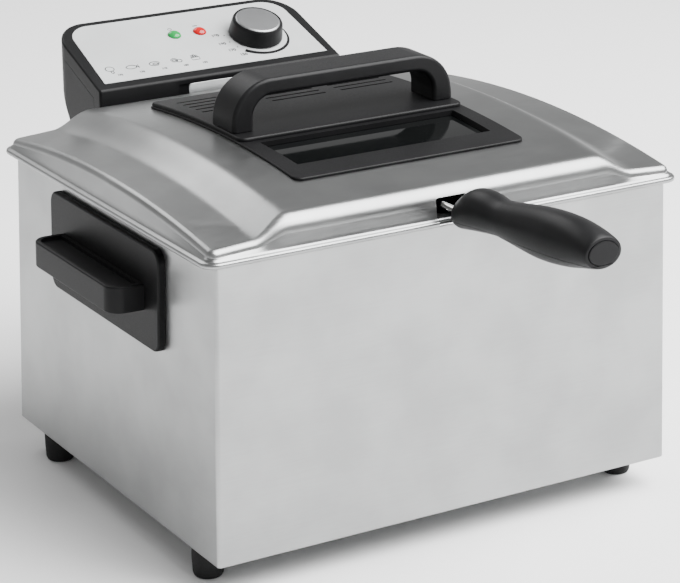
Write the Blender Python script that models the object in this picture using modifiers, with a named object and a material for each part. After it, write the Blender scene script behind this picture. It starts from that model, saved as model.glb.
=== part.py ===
"""Family-size deep fryer: steel housing, lift-out tank, basket, domed lid and control unit.

All lengths are in millimetres and turned to metres when a mesh is made. +X is to the right, -Y is
the front with the basket handle and +Z is up. Parts are laid out around the middle of the housing,
and the root empty shifts them so that the origin is under the middle of the whole fryer, on the
surface that the feet stand on.
"""
import math

import bmesh
import bpy
from mathutils import Matrix, Vector

MM = 0.001
GAP = 0.3

# Housing
BODY_WIDTH = 350.0
BODY_DEPTH = 300.0
BODY_LOW = 13.0
BODY_TOP = 217.0
BODY_FLARE = 4.5
BODY_CORNER = 3.0
SHEET = 1.2
FLANGE = 9.0
FOOT_LOW = -9.0
FOOT_RADIUS = 11.0
FOOT_X = 166.5
FOOT_Y = 115.0
BASE_Z = 16.0

# Side handles, in a frame that leans with the housing's wall
HANDLE_Z = 173.0
PLATE_LENGTH = 164.0
PLATE_HEIGHT = 70.0
PLATE_OUT = 5.5
SIDE_GRIP_LENGTH = 125.0
SIDE_GRIP_OUT = 30.0

# Oil tank
TANK_X = 160.0
TANK_Y = 132.0
TANK_FLOOR = 62.0
TANK_CORNER = 26.0
TANK_RIM = 12.0
TANK_RIM_CORNER = 14.0
TANK_TOP = BODY_TOP + GAP + SHEET

# Basket
BASKET_X = 139.0
BASKET_FRONT = -112.0
BASKET_REAR = 106.0
BASKET_FLOOR = 104.0
BASKET_TOP = 207.0
BASKET_TAPER = 10.0
BASKET_WIRE = 2.5
ROD_RADIUS = 2.25
ROD_X = 7.8
ROD_Z = 231.4

# Lid
CREST = 253.0
SHOULDER_DROP = 14.0
ARCH_RADIUS = 943.0
LID_X = 180.5
LID_Y = 152.0
LID_CORNER = 7.0
RIM_OUT = 3.5
RIM_TOP = 221.0
SKIRT_LEAN = 1.5
OPENING_X = 84.0
OPENING_Y = (-98.0, 102.0)
INSERT_X = 90.0
INSERT_Y = (-104.0, 108.0)
WINDOW_X = 75.0
WINDOW_Y = (-81.0, -33.0)
COVER_X = 89.4
COVER_Y = (-28.0, 107.4)
FRAME_TOP = CREST + 1.8
COVER_TOP = FRAME_TOP + 2.6
ARCH_HALF = 88.0
ARCH_TOP = 292.0
ARCH_THICK = 11.5
ARCH_LEG = 16.0
ARCH_WIDTH = 32.0

# Control unit
CONTROL_FRONT = 162.0
CONTROL_REAR = 248.5
CONTROL_BOTTOM = 163.0
CONTROL_X = 102.0
CONTROL_X_REAR = 100.0
FASCIA_Z = 248.3
FASCIA_ANGLE = math.radians(19.0)
BEZEL_DEPTH = 11.0
WALL = 2.5
KNOB_AT = (49.5, 42.0)
LENSES_AT = {"lens_green": (-12.5, 57.0), "lens_red": (9.0, 57.0)}
RAIL_X = 60.0

GRIP_FRONT = 318.0
GRIP_END_Z = 244.0
ROOT_Y = (GRIP_FRONT - CONTROL_REAR) / 2

flare_angle = math.atan2(BODY_FLARE, BODY_TOP - BODY_LOW)
fascia_slope = math.tan(FASCIA_ANGLE)

for old in list(bpy.data.objects):
    bpy.data.objects.remove(old, do_unlink=True)

parts = bpy.data.collections.new("deep_fryer")
cutters = bpy.data.collections.new("cutters")
bpy.context.scene.collection.children.link(parts)
bpy.context.scene.collection.children.link(cutters)


def add_empty(name, location, rotation=(0, 0, 0), parent=None):
    """An empty in millimetres that other pieces are placed by."""
    empty = bpy.data.objects.new(name, None)
    empty.location = Vector(location) * MM
    empty.rotation_euler = rotation
    empty.parent = parent
    parts.objects.link(empty)
    return empty


root = add_empty("root_frame", (0, ROOT_Y, -FOOT_LOW))
fascia_frame = add_empty("fascia_frame", (0, CONTROL_FRONT, FASCIA_Z), (FASCIA_ANGLE, 0, 0), root)


def material(name, colour, roughness, metallic):
    made = bpy.data.materials.new(name)
    made.use_nodes = True
    shader = made.node_tree.nodes["Principled BSDF"]
    shader.inputs["Base Color"].default_value = (*colour, 1.0)
    shader.inputs["Roughness"].default_value = roughness
    shader.inputs["Metallic"].default_value = metallic
    return made


STEEL = ((0.62, 0.62, 0.61), 0.32, 1.0)
CHROME = ((0.78, 0.78, 0.78), 0.12, 1.0)
BLACK = ((0.035, 0.035, 0.036), 0.5, 0.0)
RUBBER = ((0.02, 0.02, 0.02), 0.8, 0.0)
SILVER = ((0.66, 0.67, 0.67), 0.45, 0.2)
GLASS = ((0.05, 0.05, 0.05), 0.08, 0.0)
INNER = ((0.4, 0.4, 0.38), 0.6, 0.0)


def new_object(name, mesh_data, finish, parent=root):
    made = bpy.data.objects.new(name, mesh_data)
    made.data.materials.append(material(name, *finish))
    made.parent = parent
    parts.objects.link(made)
    return made


def mesh_from(bm, name):
    """Closes a bmesh in millimetres into a mesh in metres, facing out and smooth where it is round."""
    bmesh.ops.recalc_face_normals(bm, faces=bm.faces)
    return mesh_keep(bm, name)


def mesh_keep(bm, name):
    """Like mesh_from, for a mesh whose normals are right already."""
    bmesh.ops.scale(bm, vec=(MM, MM, MM), verts=bm.verts)
    made = bpy.data.meshes.new(name)
    bm.to_mesh(made)
    bm.free()
    made.shade_smooth()
    made.set_sharp_from_angle(angle=math.radians(35))
    return made


def add_box(bm, low, high):
    """Adds a box between two corners and returns its vertices."""
    centre = [(a + b) / 2 for a, b in zip(low, high)]
    size = [b - a for a, b in zip(low, high)]
    place = Matrix.Translation(centre) @ Matrix.Diagonal((*size, 1.0))
    return bmesh.ops.create_cube(bm, size=1.0, matrix=place)["verts"]


def along(bm, axis):
    """The edges that run along one axis."""
    def runs(edge):
        reach = edge.verts[1].co - edge.verts[0].co
        return abs(reach[axis]) > 0.999 * reach.length

    return [edge for edge in bm.edges if runs(edge)]


def rounded_block(low, high, corner, segments=4, axis=2):
    """A box whose edges along one axis are rounded."""
    bm = bmesh.new()
    add_box(bm, low, high)
    bmesh.ops.bevel(bm, geom=along(bm, axis), offset=corner, segments=segments, affect="EDGES", profile=0.5)
    return bm


def soften(bm, test, offset, segments=2):
    """Rounds the sharp edges whose middle passes the test."""
    chosen = []
    for edge in bm.edges:
        if len(edge.link_faces) == 2 and edge.calc_face_angle() > 0.9:
            if test((edge.verts[0].co + edge.verts[1].co) / 2):
                chosen.append(edge)
    bmesh.ops.bevel(bm, geom=chosen, offset=offset, segments=segments, affect="EDGES", profile=0.5)


def add_cylinder(bm, centre, radius, length, axis="Z", segments=16):
    turn = {"X": Matrix.Rotation(math.pi / 2, 4, "Y"), "Y": Matrix.Rotation(math.pi / 2, 4, "X")}
    place = Matrix.Translation(centre) @ turn.get(axis, Matrix.Identity(4))
    bmesh.ops.create_cone(
        bm, cap_ends=True, segments=segments, radius1=radius, radius2=radius, depth=length, matrix=place
    )


def solidify(obj, thickness, offset=-1.0):
    made = obj.modifiers.new("sheet", "SOLIDIFY")
    made.thickness = thickness * MM
    made.offset = offset
    made.use_even_offset = True


def cutter(name, bm, parent=root):
    """A hidden solid that Booleans use."""
    made = bpy.data.objects.new(name, mesh_from(bm, name))
    made.parent = parent
    made.hide_render = True
    made.display_type = "WIRE"
    cutters.objects.link(made)
    return made


def boolean(obj, other, operation="DIFFERENCE"):
    made = obj.modifiers.new(operation.lower(), "BOOLEAN")
    made.operation = operation
    made.object = other
    made.solver = "EXACT"


def turned(name, profile, finish, parent=root, location=(0, 0, 0), rotation=(0, 0, 0), steps=20, ring=False):
    """Turns a profile of (radius, height) points, top to bottom on its outer side, about local Z."""
    bm = bmesh.new()
    points = [bm.verts.new((radius, 0, height)) for radius, height in profile]
    pairs = list(zip(points, points[1:]))
    if ring:
        pairs.append((points[-1], points[0]))
    for first, second in pairs:
        bm.edges.new((first, second))
    bmesh.ops.scale(bm, vec=(MM, MM, MM), verts=bm.verts)
    data = bpy.data.meshes.new(name)
    bm.to_mesh(data)
    bm.free()
    made = new_object(name, data, finish, parent)
    made.location = Vector(location) * MM
    made.rotation_euler = rotation
    screw = made.modifiers.new("turn", "SCREW")
    screw.steps = steps
    screw.render_steps = steps
    screw.use_merge_vertices = True
    screw.merge_threshold = 0.00005
    screw.use_smooth_shade = True
    return made


def rounded_path(corners, radius, steps=3, closed=False):
    """A polyline through corner points, each turned with an arc of the given radius."""
    points = [Vector(corner) for corner in corners]
    out = []
    count = len(points)
    for index, point in enumerate(points):
        if not closed and index in (0, count - 1):
            out.append(point)
            continue
        before = (points[index - 1] - point).normalized()
        after = (points[(index + 1) % count] - point).normalized()
        half = before.angle(after) / 2
        reach = radius / math.tan(half)
        middle = point + (before + after).normalized() * (radius / math.sin(half))
        start = point + before * reach - middle
        end = point + after * reach - middle
        turn = start.rotation_difference(end)
        axis, sweep = turn.axis, turn.angle
        for step in range(steps + 1):
            out.append(middle + Matrix.Rotation(sweep * step / steps, 3, axis) @ start)
    return out


def tube(name, points, radius, finish, parent=root, closed=False):
    """A round wire or tube along a polyline."""
    data = bpy.data.curves.new(name, "CURVE")
    data.dimensions = "3D"
    spline = data.splines.new("POLY")
    spline.points.add(len(points) - 1)
    for slot, point in zip(spline.points, points):
        slot.co = (*(Vector(point) * MM), 1.0)
    spline.use_cyclic_u = closed
    data.bevel_depth = radius * MM
    data.bevel_resolution = 2
    data.use_fill_caps = True
    return new_object(name, data, finish, parent)


def outline_block(outline, low, high):
    """A flat outline in X and Y, filled as a 2D curve and extruded between two heights."""
    data = bpy.data.curves.new("outline", "CURVE")
    data.dimensions = "2D"
    data.fill_mode = "BOTH"
    data.extrude = (high - low) / 2
    spline = data.splines.new("POLY")
    spline.points.add(len(outline) - 1)
    for slot, point in zip(spline.points, outline):
        slot.co = (point[0], point[1], 0.0, 1.0)
    spline.use_cyclic_u = True
    holder = bpy.data.objects.new("outline", data)
    bpy.context.scene.collection.objects.link(holder)
    graph = bpy.context.evaluated_depsgraph_get()
    filled = bpy.data.meshes.new_from_object(holder.evaluated_get(graph))
    bpy.data.objects.remove(holder)
    bm = bmesh.new()
    bm.from_mesh(filled)
    bmesh.ops.remove_doubles(bm, verts=bm.verts, dist=0.0001)
    bmesh.ops.translate(bm, vec=(0, 0, (high + low) / 2), verts=bm.verts)
    return bm


def lid_height(x, y):
    """Height of the lid's top: an arch front to back, stepping down to flat shoulders at the sides."""
    across = min(max((abs(x) - 120.0) / 28.0, 0.0), 1.0)
    step = across * across * (3 - 2 * across)
    shoulder = max(abs(x) - 148.0, 0.0) / 32.0 * 2.0
    return CREST - step * (SHOULDER_DROP - 2.0) - shoulder - y * y / (2 * ARCH_RADIUS)


def bend_to_arch(bm, spacing=30.0):
    """Bends a flat piece over the lid's arch, after cutting it across so that it can bend."""
    low = min(vert.co.y for vert in bm.verts)
    high = max(vert.co.y for vert in bm.verts)
    count = max(1, round((high - low) / spacing))
    for step in range(1, count):
        bisect(bm, (0, low + (high - low) * step / count, 0), (0, 1, 0))
    for vert in bm.verts:
        vert.co.z -= vert.co.y * vert.co.y / (2 * ARCH_RADIUS)


def bisect(bm, point, normal, cut_away=False):
    """Cuts the mesh by a plane, and with cut_away removes what the normal points to and caps the cut."""
    everything = bm.verts[:] + bm.edges[:] + bm.faces[:]
    made = bmesh.ops.bisect_plane(
        bm, geom=everything, plane_co=point, plane_no=normal, dist=0.0001, clear_outer=cut_away
    )
    if cut_away:
        rim = [item for item in made["geom_cut"] if isinstance(item, bmesh.types.BMEdge)]
        bmesh.ops.holes_fill(bm, edges=rim, sides=0)


# ---- housing ----

def make_housing_shell():
    bm = rounded_block(
        (-BODY_WIDTH / 2, -BODY_DEPTH / 2, BODY_LOW),
        (BODY_WIDTH / 2, BODY_DEPTH / 2, BODY_TOP),
        BODY_CORNER,
    )
    flat = [face for face in bm.faces if abs(face.normal.z) > 0.9]
    bmesh.ops.delete(bm, geom=flat, context="FACES")
    for vert in bm.verts:
        if vert.co.z < BODY_LOW + 1:
            vert.co.x *= 1 + BODY_FLARE / (BODY_WIDTH / 2)
            vert.co.y *= 1 + BODY_FLARE / (BODY_DEPTH / 2)
    top = [edge for edge in bm.edges if min(v.co.z for v in edge.verts) > BODY_TOP - 1]
    made = bmesh.ops.extrude_edge_only(bm, edges=top)["geom"]
    for vert in (item for item in made if isinstance(item, bmesh.types.BMVert)):
        vert.co.x *= 1 - FLANGE / (BODY_WIDTH / 2)
        vert.co.y *= 1 - FLANGE / (BODY_DEPTH / 2)
    shell = new_object("housing_shell", open_mesh(bm, "housing_shell"), STEEL)
    solidify(shell, SHEET)
    return shell


def open_mesh(bm, name):
    """Like mesh_from, for an open surface whose normals face out of the object."""
    bmesh.ops.recalc_face_normals(bm, faces=bm.faces)
    middle = Vector((0, 0, 120))
    outward = 0.0
    for face in bm.faces:
        outward += face.normal.dot(face.calc_center_median() - middle) * face.calc_area()
    if outward < 0:
        bmesh.ops.reverse_faces(bm, faces=bm.faces)
    return mesh_keep(bm, name)


def make_base_plate():
    half_x = BODY_WIDTH / 2 + BODY_FLARE - SHEET - 0.8
    half_y = BODY_DEPTH / 2 + BODY_FLARE - SHEET - 0.8
    bm = rounded_block((-half_x, -half_y, BASE_Z), (half_x, half_y, BASE_Z + SHEET), 8.0, 3)
    plate = new_object("base_plate", mesh_from(bm, "base_plate"), STEEL)
    holes = bmesh.new()
    for side in (-1, 1):
        for row in range(4):
            x = side * (45 + 18 * row)
            add_box(holes, (x - 2, -35, BASE_Z - 4), (x + 2, 35, BASE_Z + 5))
        for end in (-1, 1):
            add_cylinder(holes, (side * FOOT_X, end * FOOT_Y, BASE_Z), 2.4, 12, segments=12)
    boolean(plate, cutter("base_plate_holes", holes))


def make_feet():
    rise = BASE_Z - GAP
    foot = [
        (FOOT_RADIUS, rise), (FOOT_RADIUS - 0.6, FOOT_LOW + 1.2), (FOOT_RADIUS - 1.8, FOOT_LOW),
        (4.4, FOOT_LOW), (4.4, 6), (2.4, 6), (2.4, rise),
    ]
    screw = [(0, 20.5), (1.9, 20.5), (1.9, 5.6), (3.9, 5.6), (3.9, 3.8), (3.0, 3.0), (0, 3.0)]
    places = {"front_left": (-1, -1), "front_right": (1, -1), "rear_left": (-1, 1), "rear_right": (1, 1)}
    for name, (side, end) in places.items():
        location = (side * FOOT_X, end * FOOT_Y, 0)
        turned("foot_" + name, foot, RUBBER, location=location, steps=16, ring=True)
        turned("foot_screw_" + name, screw, CHROME, location=location, steps=10)


def make_side_handle(side, label, shell):
    """A flat plate on the wall, a shelf-like grip with a finger pocket, and two screws from inside."""
    wall_x = BODY_WIDTH / 2 + (BODY_TOP - HANDLE_Z) * math.tan(flare_angle)
    lean = add_empty("side_frame_" + label, (side * wall_x, 0, HANDLE_Z), (0, -side * flare_angle, 0), root)

    def out(low, high):
        """A box given by its distance out of the wall, along it and up it."""
        near, far = sorted((side * low[0], side * high[0]))
        return (near, low[1], low[2]), (far, high[1], high[2])

    low = (GAP, -PLATE_LENGTH / 2, -PLATE_HEIGHT / 2)
    high = (PLATE_OUT, PLATE_LENGTH / 2, PLATE_HEIGHT / 2)
    plate_bm = rounded_block(*out(low, high), 9.0, 4, 0)
    soften(plate_bm, lambda p: abs(p.x) > PLATE_OUT - 0.1, 1.4, 1)
    plate = new_object("side_handle_plate_" + label, mesh_from(plate_bm, "plate"), BLACK, lean)
    half = SIDE_GRIP_LENGTH / 2
    grip_bm = bmesh.new()
    add_box(grip_bm, *out((PLATE_OUT + GAP, -half, -10.0), (SIDE_GRIP_OUT, half, 8.5)))
    outer = [edge for edge in along(grip_bm, 2) if abs(edge.verts[0].co.x) > SIDE_GRIP_OUT - 0.1]
    bmesh.ops.bevel(grip_bm, geom=outer, offset=11.0, segments=4, affect="EDGES", profile=0.5)
    grip = new_object("side_handle_grip_" + label, mesh_from(grip_bm, "grip"), BLACK, lean)
    pocket = bmesh.new()
    add_box(pocket, *out((9.0, -51.0, -20.0), (25.5, 51.0, 3.6)))
    boolean(grip, cutter("finger_pocket_" + label, pocket, lean))
    holes = bmesh.new()
    for end in (-1, 1):
        add_cylinder(holes, (side * 4.0, end * 56.5, -1.0), 2.4, 30.0, "X", 12)
    drill = cutter("side_screw_holes_" + label, holes, lean)
    for target in (shell, plate, grip):
        boolean(target, drill)
    screw = [(0, 17.5), (1.9, 17.5), (1.9, -1.7), (4.2, -1.7), (4.2, -3.2), (3.2, -4.2), (0, -4.2)]
    for end, place in ((-1, "front"), (1, "rear")):
        turned(
            "side_handle_screw_" + label + "_" + place, screw, CHROME, lean,
            (0, end * 56.5, -1.0), (0, side * math.pi / 2, 0), steps=10,
        )


def make_rails():
    for side, label in ((-1, "left"), (1, "right")):
        bm = bmesh.new()
        wall = BODY_DEPTH / 2
        add_box(bm, (side * RAIL_X - 6, wall + 1.5, 168), (side * RAIL_X + 6, wall + 17, 212))
        soften(bm, lambda p: p.z > 211 and p.y > 160, 2.5, 2)
        new_object("control_rail_" + label, mesh_from(bm, "rail"), BLACK)


# ---- oil tank ----

def make_tank():
    bm = rounded_block((-TANK_X, -TANK_Y, TANK_FLOOR), (TANK_X, TANK_Y, TANK_TOP), TANK_CORNER, 5)
    soften(bm, lambda p: p.z < TANK_FLOOR + 1, 10.0, 2)
    bmesh.ops.delete(bm, geom=[f for f in bm.faces if f.normal.z > 0.9], context="FACES")
    for vert in bm.verts:
        lower = (TANK_TOP - vert.co.z) / (TANK_TOP - TANK_FLOOR)
        vert.co.x *= 1 - lower * 5.0 / TANK_X
        vert.co.y *= 1 - lower * 5.0 / TANK_Y
    top = [edge for edge in bm.edges if min(v.co.z for v in edge.verts) > TANK_TOP - 0.1]
    made = bmesh.ops.extrude_edge_only(bm, edges=top)["geom"]
    for vert in (item for item in made if isinstance(item, bmesh.types.BMVert)):
        # The rim's corners are tighter than the tank's, so that they reach over the flange's.
        beyond = Vector((abs(vert.co.x) - TANK_X + TANK_CORNER, abs(vert.co.y) - TANK_Y + TANK_CORNER))
        way = beyond.normalized() * TANK_RIM_CORNER
        vert.co.x = math.copysign(TANK_X + TANK_RIM - TANK_RIM_CORNER + way.x, vert.co.x)
        vert.co.y = math.copysign(TANK_Y + TANK_RIM - TANK_RIM_CORNER + way.y, vert.co.y)
    tank = new_object("oil_tank", open_mesh(bm, "oil_tank"), STEEL)
    # The rim's upper face is the surface here, so the sheet grows down and outwards from it.
    solidify(tank, SHEET, tank_side(tank))


def tank_side(tank):
    """Which way the sheet grows so that the rim hangs below its top surface."""
    rim = max(tank.data.polygons, key=lambda face: face.center.z)
    return -1.0 if rim.normal.z > 0 else 1.0


# ---- basket ----

def make_basket():
    low = (-BASKET_X, BASKET_FRONT, BASKET_FLOOR)
    bm = rounded_block(low, (BASKET_X, BASKET_REAR, BASKET_TOP), 20.0, 4)
    soften(bm, lambda p: p.z < BASKET_FLOOR + 1, 7.0, 1)
    bmesh.ops.delete(bm, geom=[f for f in bm.faces if f.normal.z > 0.9], context="FACES")
    middle = (BASKET_FRONT + BASKET_REAR) / 2
    for vert in bm.verts:
        lower = (BASKET_TOP - vert.co.z) / (BASKET_TOP - BASKET_FLOOR)
        vert.co.x *= 1 - lower * BASKET_TAPER / BASKET_X
        narrower = 1 - lower * BASKET_TAPER / (BASKET_REAR - middle)
        vert.co.y = middle + (vert.co.y - middle) * narrower
    basket = new_object("basket_mesh", open_mesh(bm, "basket_mesh"), CHROME)
    solidify(basket, 1.4)

    rim_z = BASKET_TOP + GAP + BASKET_WIRE
    corners = [
        (-BASKET_X, BASKET_FRONT, rim_z), (BASKET_X, BASKET_FRONT, rim_z),
        (BASKET_X, BASKET_REAR, rim_z), (-BASKET_X, BASKET_REAR, rim_z),
    ]
    rim = rounded_path(corners, 20.0, 4, True)
    tube("basket_rim_wire", rim, BASKET_WIRE, CHROME, closed=True)

    plate_y = BASKET_FRONT - BASKET_WIRE - 2 * GAP
    bracket = rounded_block((-17, plate_y - SHEET, 168), (17, plate_y, 214), 4.0, 2, 1)
    new_object("basket_handle_bracket", mesh_from(bracket, "bracket"), STEEL)

    front = plate_y - SHEET - GAP - ROD_RADIUS
    loop = [
        (-ROD_X, -196, ROD_Z), (-ROD_X, front, ROD_Z), (-ROD_X, front, 160),
        (ROD_X, front, 160), (ROD_X, front, ROD_Z), (ROD_X, -196, ROD_Z),
    ]
    tube("basket_handle_wire", rounded_path(loop, 7.0, 4), ROD_RADIUS, CHROME)


def grip_loft(stations, around=16):
    """Lofts elliptical sections (distance forward, centre height, half width, half height)."""
    bm = bmesh.new()
    rings = []
    for forward, height, half_width, half_height in stations:
        ring = []
        for step in range(around):
            angle = 2 * math.pi * step / around
            x = half_width * math.cos(angle)
            z = height + half_height * math.sin(angle)
            ring.append(bm.verts.new((x, -forward, z)))
        rings.append(ring)
    for ring, following in zip(rings, rings[1:]):
        for step in range(around):
            after = (step + 1) % around
            bm.faces.new((ring[step], ring[after], following[after], following[step]))
    bm.faces.new(rings[0])
    bm.faces.new(rings[-1])
    return bm


def make_grip():
    """The black two-half handle: a bulge by the lid, a waist, then a fat belly and a flat oval end."""
    stations = [
        (167.0, 228.6, 11.6, 9.6), (170.0, 230.0, 12.6, 11.6), (176.0, 232.8, 13.3, 13.4),
        (184.0, 235.2, 13.6, 14.4), (197.0, 236.7, 13.0, 13.9), (211.0, 236.9, 12.3, 12.3),
        (222.0, 237.4, 12.6, 13.1), (233.0, 238.2, 13.3, 14.4), (245.0, 239.0, 14.0, 15.8),
        (257.0, 239.9, 14.6, 16.9), (273.0, 241.4, 15.2, 17.1), (290.0, 243.0, 15.2, 15.9),
        (304.0, 244.0, 14.9, 13.4), (313.0, 244.1, 14.2, 11.4), (317.2, GRIP_END_Z, 13.3, 9.9),
    ]
    seam_start = Vector((0, -157, 223.6))
    seam_normal = Vector((0, math.sin(math.radians(4.5)), math.cos(math.radians(4.5))))
    hollow = [(314.6, GRIP_END_Z, 11.4, 8.0), (322.0, GRIP_END_Z, 11.4, 8.0)]
    recess = cutter("cap_recess", grip_loft(hollow, 20))
    for name, way in (("grip_upper", -1), ("grip_lower", 1)):
        bm = grip_loft(stations)
        bmesh.ops.recalc_face_normals(bm, faces=bm.faces)
        bisect(bm, seam_start - seam_normal * way * 0.18, seam_normal * way, True)
        half = new_object(name, mesh_from(bm, name), BLACK)
        boolean(half, recess)
    drills = bmesh.new()
    for side in (-1, 1):
        add_cylinder(drills, (side * ROD_X, -174, ROD_Z), ROD_RADIUS + GAP, 46.0, "Y", 12)
    boolean(bpy.data.objects["grip_upper"], cutter("rod_holes", drills))
    cap = [
        (314.9, GRIP_END_Z, 11.1, 7.7), (317.3, GRIP_END_Z, 11.1, 7.7), (GRIP_FRONT, GRIP_END_Z, 10.4, 7.0),
    ]
    new_object("grip_end_cap", mesh_from(grip_loft(cap, 20), "grip_end_cap"), BLACK)


# ---- lid ----

def make_lid_shell():
    """Pressed dome: box with rounded corners, cut into strips, raised to the dome, opened below."""
    bm = rounded_block((-LID_X, -LID_Y, RIM_TOP), (LID_X, LID_Y, CREST), LID_CORNER, 4)
    bmesh.ops.delete(bm, geom=[f for f in bm.faces if f.normal.z < -0.9], context="FACES")
    for x in (OPENING_X, 120.0, 128.0, 134.0, 140.0, 148.0):
        for side in (-1, 1):
            bisect(bm, (side * x, 0, 0), (1, 0, 0))
    for y in (OPENING_Y[0], OPENING_Y[1], -125.0, 0.0, -50.0, 50.0, 125.0):
        bisect(bm, (0, y, 0), (0, 1, 0))
    for vert in bm.verts:
        if vert.co.z > RIM_TOP + 1:
            vert.co.z = lid_height(vert.co.x, vert.co.y)
            if abs(vert.co.x) > LID_X - LID_CORNER - 0.1:
                vert.co.x -= math.copysign(SKIRT_LEAN, vert.co.x)
            if abs(vert.co.y) > LID_Y - LID_CORNER - 0.1:
                vert.co.y -= math.copysign(SKIRT_LEAN, vert.co.y)
    soften(bm, lambda p: abs(p.y) > LID_Y - 3 or abs(p.x) > LID_X - 3, 4.0, 2)

    def in_opening(face):
        p = face.calc_center_median()
        return face.normal.z > 0.5 and abs(p.x) < OPENING_X and OPENING_Y[0] < p.y < OPENING_Y[1]

    bmesh.ops.delete(bm, geom=[f for f in bm.faces if in_opening(f)], context="FACES")
    # Rim: out, down, and folded in to lie on the tank's rim.
    seat = TANK_TOP + GAP
    low = BODY_TOP + 0.1
    path = [(RIM_OUT, RIM_TOP - 0.4), (RIM_OUT, low), (-3.0, low), (-3.0, seat)]
    rim = [edge for edge in bm.edges if edge.is_boundary]
    edges = [edge for edge in rim if max(v.co.z for v in edge.verts) < RIM_TOP + 1]
    stands = 0.0
    for reach, height in path:
        made = bmesh.ops.extrude_edge_only(bm, edges=edges)["geom"]
        outline = (LID_X + stands, LID_Y + stands, LID_CORNER + stands)
        for vert in (item for item in made if isinstance(item, bmesh.types.BMVert)):
            vert.co = offset_point(vert.co, *outline, reach - stands)
            vert.co.z = height
        lines = [item for item in made if isinstance(item, bmesh.types.BMEdge)]
        edges = [edge for edge in lines if edge.is_boundary]
        stands = reach
    made = bmesh.ops.extrude_edge_only(bm, edges=edges)["geom"]
    for vert in (item for item in made if isinstance(item, bmesh.types.BMVert)):
        vert.co.x *= (LID_X - 12.0) / (LID_X - 3.0)
        vert.co.y *= (LID_Y - 12.0) / (LID_Y - 3.0)
    shell = new_object("lid_shell", open_mesh(bm, "lid_shell"), STEEL)
    solidify(shell, 0.9)
    cuts = bmesh.new()
    add_box(cuts, (-12, -LID_Y - 12, BODY_TOP - 8), (12, -LID_Y + 22, 235.4))
    add_box(cuts, (-50, LID_Y - 22, BODY_TOP - 8), (50, LID_Y + 12, 230.0))
    boolean(shell, cutter("lid_slots", cuts))
    tab = rounded_block((-34, LID_Y + 0.2, 232.5), (34, LID_Y + 0.2 + SHEET, 246.5), 3.0, 2, 1)
    new_object("lid_rear_tab", mesh_from(tab, "lid_rear_tab"), STEEL)


def offset_point(point, half_x, half_y, corner, distance):
    """Moves a point of a rounded rectangle's outline square to it, outwards for a positive distance."""
    beyond_x = abs(point.x) - (half_x - corner)
    beyond_y = abs(point.y) - (half_y - corner)
    if beyond_x > 0 and beyond_y > 0:
        way = Vector((math.copysign(beyond_x, point.x), math.copysign(beyond_y, point.y), 0))
        way.normalize()
    elif half_x - abs(point.x) < half_y - abs(point.y):
        way = Vector((math.copysign(1, point.x), 0, 0))
    else:
        way = Vector((0, math.copysign(1, point.y), 0))
    return point + way * distance


def make_lid_insert():
    """Black frame in the lid's opening, with the window pane in front and the filter behind."""
    bm = rounded_block((-INSERT_X, INSERT_Y[0], CREST + GAP), (INSERT_X, INSERT_Y[1], FRAME_TOP), 6.0, 3)
    bend_to_arch(bm)
    frame = new_object("lid_insert_frame", mesh_from(bm, "lid_insert_frame"), BLACK)
    low = (0.6 - OPENING_X, OPENING_Y[0] + 0.6, CREST - 8)
    collar = rounded_block(low, (OPENING_X - 0.6, OPENING_Y[1] - 0.6, CREST + 1.2), 3.0, 2)
    bend_to_arch(collar)
    boolean(frame, cutter("insert_collar", collar), "UNION")
    front, back = WINDOW_Y
    holes = bmesh.new()
    add_box(holes, (-WINDOW_X, front, CREST - 30), (WINDOW_X, back, CREST + 20))
    boolean(frame, cutter("window_opening", holes))
    rear = bmesh.new()
    add_box(rear, (-71.5, COVER_Y[0] + 6, CREST - 30), (71.5, OPENING_Y[1] - 5, CREST + 20))
    boolean(frame, cutter("filter_opening", rear))
    rebate = bmesh.new()
    add_box(rebate, (-WINDOW_X - 4, front - 5, CREST - 30), (WINDOW_X + 4, back + 8, CREST - 1.6))
    bend_to_arch(rebate, 15)
    boolean(frame, cutter("window_rebate", rebate))

    reach = WINDOW_X + 3.5
    pane = rounded_block((-reach, front - 4.5, CREST - 5.2), (reach, back + 7.5, CREST - 1.9), 3.0, 2)
    bend_to_arch(pane, 15)
    new_object("window_glass", mesh_from(pane, "window_glass"), GLASS)
    gasket = rounded_block((-reach, front - 4.5, CREST - 7.6), (reach, back + 7.5, CREST - 5.5), 3.0, 2)
    bend_to_arch(gasket, 15)
    seal = new_object("window_gasket", mesh_from(gasket, "window_gasket"), RUBBER)
    inner = bmesh.new()
    add_box(inner, (2 - WINDOW_X, front + 1, CREST - 30), (WINDOW_X - 2, back + 2, CREST + 20))
    boolean(seal, cutter("gasket_opening", inner))


def make_filter():
    bm = rounded_block((-COVER_X, COVER_Y[0], FRAME_TOP + GAP), (COVER_X, COVER_Y[1], COVER_TOP), 6.0, 3)
    soften(bm, lambda p: p.z > COVER_TOP - 0.1, 0.9, 1)
    bend_to_arch(bm)
    cover = new_object("filter_cover", mesh_from(bm, "filter_cover"), BLACK)
    slots = bmesh.new()
    for row in range(5):
        for column in (-1, 0, 1):
            x = column * 56.0
            y = 48.5 + 9.6 * row
            add_box(slots, (x - 22, y - 1.2, CREST - 15), (x + 22, y + 1.2, CREST + 20))
    for side in (-1, 1):
        add_cylinder(slots, (side * (ARCH_HALF - ARCH_LEG / 2 - 3), 0, CREST), 2.4, 40.0, segments=12)
    boolean(cover, cutter("louvres", slots))
    boolean(bpy.data.objects["lid_insert_frame"], bpy.data.objects["louvres"])
    pad = rounded_block((-70.5, 2.0, CREST - 6.5), (70.5, 92.0, CREST + 0.6), 4.0, 2)
    bend_to_arch(pad)
    new_object("filter_pad", mesh_from(pad, "filter_pad"), INNER)


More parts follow.
